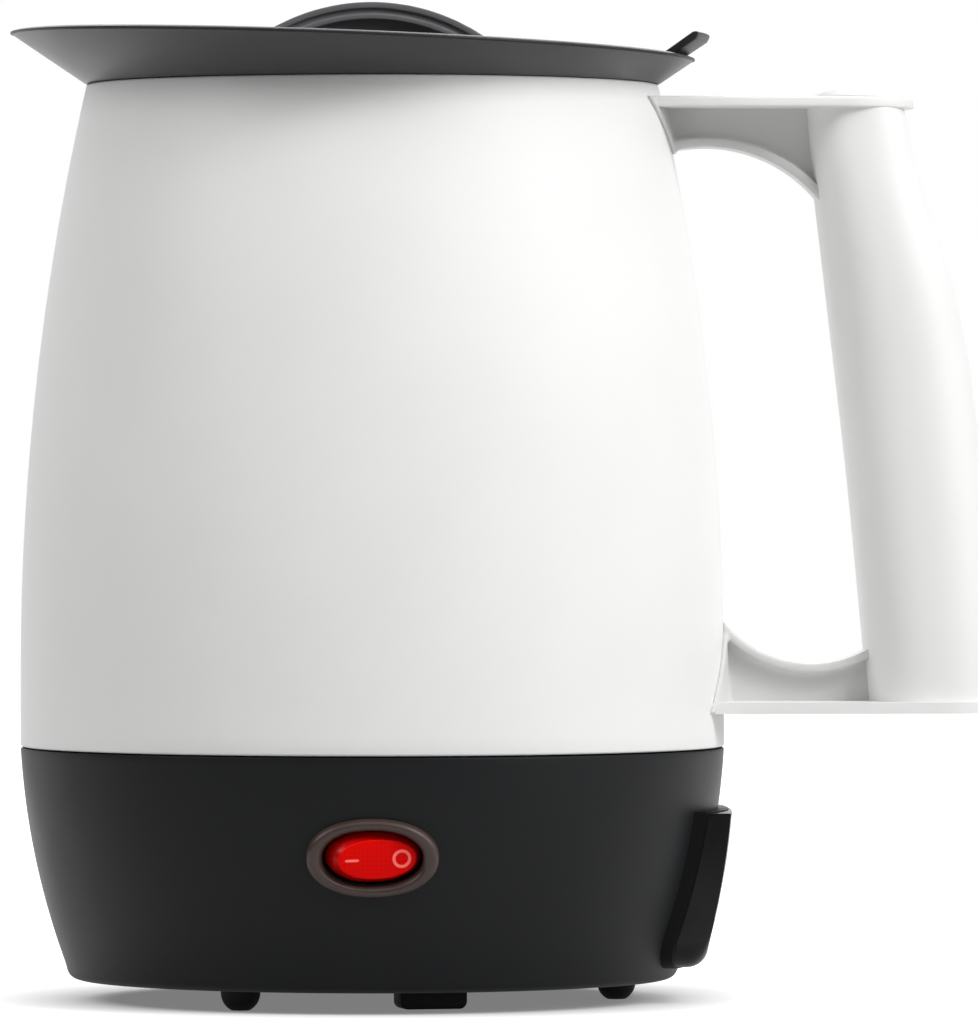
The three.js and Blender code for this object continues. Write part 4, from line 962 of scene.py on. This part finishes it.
def make_inlet():
    outer = softened(bridged([inlet_outline(y) for y in across(INLET)]), INLET.edge, 3, 50)
    y, z, mid = SOCKET.half_width + SOCKET.wall, SOCKET.half_height + SOCKET.wall, SOCKET.z
    sleeve = block(SOCKET.back_x, SOCKET.front_x, -y, y, mid - z, mid + z)
    housing = cut(joined(cut(outer, base_solid(0)), sleeve), *inlet_ways())
    piece("power_inlet", housing, "black_plastic", "inlet_housing", sharp_angle=30)
    root = cut(cut(inlet_root(), base_solid(0)), *inlet_ways())
    # The root takes a blacker copy of the inlet's plastic, as painted shade in the recess behind the block.
    piece("inlet_root", root, "painted_shade_black_plastic", "inlet_housing", sharp_angle=30)


def inlet_ways():
    """What is cut out of the inlet for the connector, its contacts and the two screws."""
    takes = [socket_cavity(), *(blade_block(*place, GAP) for place in BLADE_PLACES)]
    for side in (-1, 1):
        place = (side * INLET_SCREW.y, SOCKET.z)
        takes.append(rod_x(INLET_SCREW.radius + GAP, INLET_SCREW.way_x, FAR, *place))
        takes.append(rod_x(INLET_SCREW.head + GAP, INLET_SCREW.seat_x, FAR, *place))
    return takes


def socket_cavity():
    """The section has two cut corners, so the connector goes in one way round."""
    y, z, c = SOCKET.half_width, SOCKET.half_height, SOCKET.chamfer
    section = [(-y, -z), (y, -z), (y, z - c), (y - c, z), (c - y, z), (-y, z - c)]
    return moved(along_x(section, SOCKET.back_x + SOCKET.wall, FAR), 0, 0, SOCKET.z)


BLADE_PLACES = [
    (-BLADE.spacing / 2, SOCKET.z - BLADE.earth_up / 2), (BLADE.spacing / 2, SOCKET.z - BLADE.earth_up / 2),
    (0, SOCKET.z + BLADE.earth_up / 2),
]


def blade_block(y, z, grow=0):
    half_y, half_z = BLADE.thick / 2 + grow, BLADE.tall / 2 + grow
    return block(BLADE.back_x, BLADE.tip_x, y - half_y, y + half_y, z - half_z, z + half_z)


def make_blades():
    for name, place in zip(("live", "neutral", "earth"), BLADE_PLACES):
        blade = softened(blade_block(*place), BLADE.edge)
        piece(f"contact_{name}", blade, "brass", f"inlet_blade_{name}")


def make_inlet_screws():
    for number, side in enumerate((-1, 1), 1):
        screw = turned_by(pan_screw(INLET_SCREW), 90, "Y")
        screw = moved(screw, INLET_SCREW.seat_x + GAP, side * INLET_SCREW.y, SOCKET.z)
        piece(f"socket_screw_{number}", screw, "zinc_steel", f"inlet_screw_{number}")


# The switch is drawn lying flat: its own X to the right, Y up the wall and Z out of it.
SWITCH_PLACE = (
    Matrix.Translation((0, -base_radius(ROCKER.z), ROCKER.z))
    @ Matrix.Rotation(radians(90 + ROCKER.lean), 4, "X")
)
ROCKER_PLACE = SWITCH_PLACE @ Matrix.Translation((0, 0, ROCKER.pivot)) @ Matrix.Rotation(
    radians(ROCKER.tilt), 4, "Y"
)
SWITCH_OVAL = 2.15


def placed(bm, place):
    bm.transform(place)
    return bm


def make_switch_housing():
    """The bezel is one rounded ring, and a tube behind it holds the rocker."""
    outer_x, outer_y = BEZEL.half
    mouth_x, mouth_y = BEZEL.opening
    tube_x, tube_y = BEZEL.tube
    front, back, root, low = BEZEL.front, -BEZEL.depth, BEZEL.ring_back, BEZEL.ring_low
    floor = back + BEZEL.end_wall
    wide_x, wide_y = (outer_x - mouth_x) / 2, (outer_y - mouth_y) / 2
    sections = [(0, outer_x, outer_y, root)]
    for angle in range(0, 181, 12):
        c, s = cos(radians(angle)), sin(radians(angle))
        sections.append((0, outer_x - wide_x * (1 - c), outer_y - wide_y * (1 - c), low + (front - low) * s))
    sections += [(0, mouth_x, mouth_y, floor), (0, tube_x, tube_y, floor), (0, tube_x, tube_y, root)]
    behind = placed(base_solid(GAP), SWITCH_PLACE.inverted())
    ring = cut(skinned(sections, SWITCH_OVAL, 120, looped=True), behind)
    tube = [(0, tube_x, tube_y, z) for z in (back, -1)]
    hollow = [(0, mouth_x, mouth_y, z) for z in (floor, front + 1)]
    sleeve = cut(skinned(tube, SWITCH_OVAL, 120), skinned(hollow, SWITCH_OVAL, 120))
    housing = placed(joined(ring, sleeve), SWITCH_PLACE)
    piece("switch_bezel", housing, "bezel_plastic", "switch_housing")


def make_rocker():
    button = skinned([(0, *level) for level in ROCKER_FLANK + ROCKER_FACE], SWITCH_OVAL, 96)
    # The flanks below the face take a darker red, as painted shade in the bezel's mouth.
    for face in button.faces:
        if face.calc_center_median().z < ROCKER_FACE[0][2]:
            face.material_index = 1
    button = placed(button, ROCKER_PLACE)
    piece("red_rocker", button, "red_lens", "switch_rocker", "rocker", second_finish="red_flank_painted_shade")


def make_rocker_marks():
    """A bar for on, a ring for off, printed on the rocker."""
    low, high = (ROCKER.top + rise for rise in MARK.level)
    near, far = MARK.ring
    bar = skinned([(MARK.bar_x, *MARK.bar_half, z) for z in (low, high)], 4, 32)
    ring = moved(turned([(near, low), (far, low), (far, high), (near, high)], SMALL_SPIN_STEPS), MARK.ring_x)
    for name, mark in (("mark_on", bar), ("mark_off", ring)):
        piece(name, placed(mark, ROCKER_PLACE), "mark_print_painted_glow", None, "rocker")


# Inside: what shows when the lid is off.
def make_vessel():
    radius, floor, bend, thick = VESSEL.radius, VESSEL.floor, VESSEL.round, VESSEL.wall
    neck, neck_top = VESSEL_NECK.radius, VESSEL_NECK.top
    top, flange = VESSEL.top, VESSEL.flange
    outline = [
        (neck - thick, floor), *arc(bend, -90, 0, 10, radius - bend, floor + bend), (radius, top - thick),
        (flange, top - thick), (flange, top), (radius - thick, top),
        *arc(bend - thick, 0, -90, 10, radius - bend, floor + bend), (neck, floor + thick), (neck, neck_top),
        (neck - thick, neck_top),
    ]
    piece("steel_vessel", softened(turned(outline), VESSEL.edge, 2, 50), "steel", "vessel")


def make_stirrer():
    bottom, top, hub, root = STIRRER.bottom, STIRRER.top, STIRRER.hub, STIRRER.root
    corner, arm_top = STIRRER.corner, bottom + STIRRER.arm_tall
    bend_z = bottom + STIRRER.tall - corner
    post = [(0, bottom), (hub, bottom), (hub, bottom + 4), (hub - 1.5, top - 3), (hub - 3.5, top), (0, top)]
    blade = [
        (root, bottom), (STIRRER.reach, bottom), *arc(corner, 0, 90, 8, STIRRER.reach - corner, bend_z),
        *arc(corner, 90, 180, 8, STIRRER.blade_x + corner, bend_z), (STIRRER.arm_end, arm_top),
        (root, arm_top),
    ]
    slot_low, slot_high = bottom + STIRRER.slot_low, bottom + STIRRER.slot_high
    adds, takes = [], []
    for side in (0, 180):
        adds.append(turned_by(drawn_out(blade, STIRRER.thick / 2), side))
        for x in STIRRER.slots:
            takes.append(turned_by(block(x, x + STIRRER.slot_wide, -9, 9, slot_low, slot_high), side))
    half, round_top = SPINDLE.square / 2 + GAP, SPINDLE.round_top
    takes.append(block(-half, half, -half, half, round_top - 0.5, SPINDLE.top + 0.4))
    takes.append(disc(SPINDLE.radius + 0.4, bottom - 1, round_top + GAP))
    paddle = melted(cut(joined(turned(post, 64), *adds), *takes), STIRRER.voxel)
    piece("stirrer_paddle", paddle, "grey_plastic", "stirrer", "stirrer", sharp_angle=60)


make_barrel()
make_base()
make_bottom_plate()
make_catches()
make_feet()
make_bottom_screws()
make_collar()
make_lid()
make_lid_grip()
make_grip()
make_upper_bracket()
make_lower_bracket()
make_dome_cap()
make_grip_screw()
make_inlet()
make_blades()
make_inlet_screws()
make_switch_housing()
make_rocker()
make_rocker_marks()
make_vessel()
make_stirrer()


# The inner parts keep their CAD shapes. Each gets the finish of what it is made of.
INNER_FINISHES = {
    "silicone": ["vessel_gasket", "shaft_seal", "switch_lamp"],
    "zinc_steel": [
        "upper_bracket_screw", "lower_bracket_screw", "grip_top_screw", "thermal_fuse", "chassis_plate",
        "chassis_screw_1", "chassis_screw_2", "chassis_screw_3", "motor_can",
    ],
    "brass": ["switch_terminal_1", "switch_terminal_2", "switch_terminal_3", "shaft_bushing"],
    "aluminium": ["heat_plate"],
    "steel": ["heating_element", "motor_rotor", "motor_shaft", "drive_spindle"],
    "black_plastic": ["thermostat", "motor_end_cap", "drive_coupling"],
    "charcoal_plastic": ["motor_magnet_1", "motor_magnet_2"],
    "circuit_board": ["rectifier_board"],
}
INNER_MATERIALS = WIRES | {node: FINISHES[name] for name, nodes in INNER_FINISHES.items() for node in nodes}
for inner_node, inner_material in INNER_MATERIALS.items():
    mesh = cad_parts[inner_node].data
    mesh.materials.clear()
    mesh.materials.append(inner_material)


# The stage: a pale floor, a white surround and soft lamps. The surround looks white to the camera. To a gloss
# it is white on the right and behind, and dim on the left and in front, as a dark room beside a white set is.
AMBIENT = 0.07
WHITE = (1, 1, 1, 1)
FLOOR_GREY = (0.45, 0.45, 0.45, 1)
FLOOR_HALF = 6
DIM_SIDE = 0.12
# The weaker glow round the jug is a painted shadow round its foot.
NEAR_GLOW_PAINTED_SHADOW = 0.2
FAR_GLOW = 1
GLOW_RISE = (0.055, 0.095)


def glowing_floor(tree):
    """The floor's own glow, for the camera alone: faint round the jug, and stronger far away, so the dim ring
    round the jug is a painted shadow on top of its real one.
    """
    place = add_node(tree, "ShaderNodeTexCoord").outputs["Object"]
    distance = add_node(tree, "ShaderNodeVectorMath", {0: place, 1: AXIS}, operation="DISTANCE")
    rise = ranged(tree, distance.outputs["Value"], NEAR_GLOW_PAINTED_SHADOW, FAR_GLOW, *GLOW_RISE)
    seen = add_node(tree, "ShaderNodeMath", {0: rise, 1: seen_directly(tree)}, operation="MULTIPLY")
    return add_node(tree, "ShaderNodeEmission", {"Strength": seen.outputs[0]}).outputs[0]


def make_floor():
    """A pale floor that shows the jug's shadow, and is clear when it is looked at from below."""
    bm = bmesh.new()
    bmesh.ops.create_grid(bm, x_segments=1, y_segments=1, size=FLOOR_HALF)
    floor = as_object(bm, "floor")
    material = bpy.data.materials.new("pale_floor")
    material.use_nodes = True
    tree = material.node_tree
    tree.nodes.remove(tree.nodes["Principled BSDF"])
    surface = add_node(tree, "ShaderNodeBsdfDiffuse", {"Color": FLOOR_GREY})
    both = add_node(tree, "ShaderNodeAddShader", {0: surface.outputs[0], 1: glowing_floor(tree)})
    below = add_node(tree, "ShaderNodeNewGeometry").outputs["Backfacing"]
    clear = add_node(tree, "ShaderNodeBsdfTransparent")
    one_sided = add_node(tree, "ShaderNodeMixShader", {0: below, 1: both.outputs[0], 2: clear.outputs[0]})
    tree.links.new(one_sided.outputs[0], tree.nodes["Material Output"].inputs["Surface"])
    floor.data.materials.append(material)


def largest(tree, outputs):
    total = outputs[0]
    for output in outputs[1:]:
        total = add_node(tree, "ShaderNodeMath", {0: total, 1: output}, operation="MAXIMUM").outputs[0]
    return total


def seen_directly(tree):
    """1 where the camera, a gloss or a clear thing looks, 0 for light that falls on the object."""
    path = add_node(tree, "ShaderNodeLightPath")
    return largest(tree, [path.outputs[f"Is {kind} Ray"] for kind in ("Camera", "Glossy", "Transmission")])


def side_brightness(tree):
    """White to the camera. To a gloss, white towards +X and behind, dim towards -X and the front."""
    ray = add_node(tree, "ShaderNodeTexCoord").outputs["Generated"]
    parts = add_node(tree, "ShaderNodeSeparateXYZ", {0: ray}).outputs
    right = ranged(tree, parts["X"], DIM_SIDE, 1, 0.1, 0.8)
    behind = ranged(tree, parts["Y"], DIM_SIDE, 1, 0.1, 0.6)
    camera = add_node(tree, "ShaderNodeLightPath").outputs["Is Camera Ray"]
    return largest(tree, [right, behind, camera])


def make_surround():
    world = bpy.data.worlds.new("surround")
    scene.world = world
    world.use_nodes = True
    tree = world.node_tree
    soft = tree.nodes["Background"]
    soft.inputs["Color"].default_value = WHITE
    soft.inputs["Strength"].default_value = AMBIENT
    bright = add_node(tree, "ShaderNodeBackground", {"Color": WHITE, "Strength": side_brightness(tree)})
    inputs = {0: seen_directly(tree), 1: soft.outputs[0], 2: bright.outputs[0]}
    chosen = add_node(tree, "ShaderNodeMixShader", inputs).outputs[0]
    tree.links.new(chosen, tree.nodes["World Output"].inputs["Surface"])


# What the lamps point at, on the world's Z axis. Their places and sizes are in metres, their power in watts.
LAMP_AIM = Vector((0, 0, 0.1))


def make_lamp(name, place, size, power):
    data = bpy.data.lights.new(name, "AREA")
    data.shape = "RECTANGLE"
    data.size, data.size_y = size
    data.energy = power
    lamp = bpy.data.objects.new(name, data)
    scene.collection.objects.link(lamp)
    lamp.location = place
    lamp.rotation_euler = (LAMP_AIM - lamp.location).to_track_quat("-Z", "Y").to_euler()


make_floor()
make_surround()
make_lamp("key", (1.2, -1.2, 1.0), (0.9, 0.9), 4.8)
make_lamp("key_right", (1.6, -0.6, 0.8), (0.9, 0.9), 9)
make_lamp("key_high", (1.1, -0.9, 1.5), (0.6, 0.6), 16)
make_lamp("fill", (-1.5, -0.55, 1.4), (0.9, 0.9), 15)
make_lamp("front", (0, -1.0, 1.7), (1.6, 1.2), 9)
make_lamp("top", (0, 0, 1.8), (2, 2), 3)
make_lamp("back", (-0.1, 1.6, 1.1), (1.8, 1.0), 19)

scene.view_settings.view_transform = "Standard"
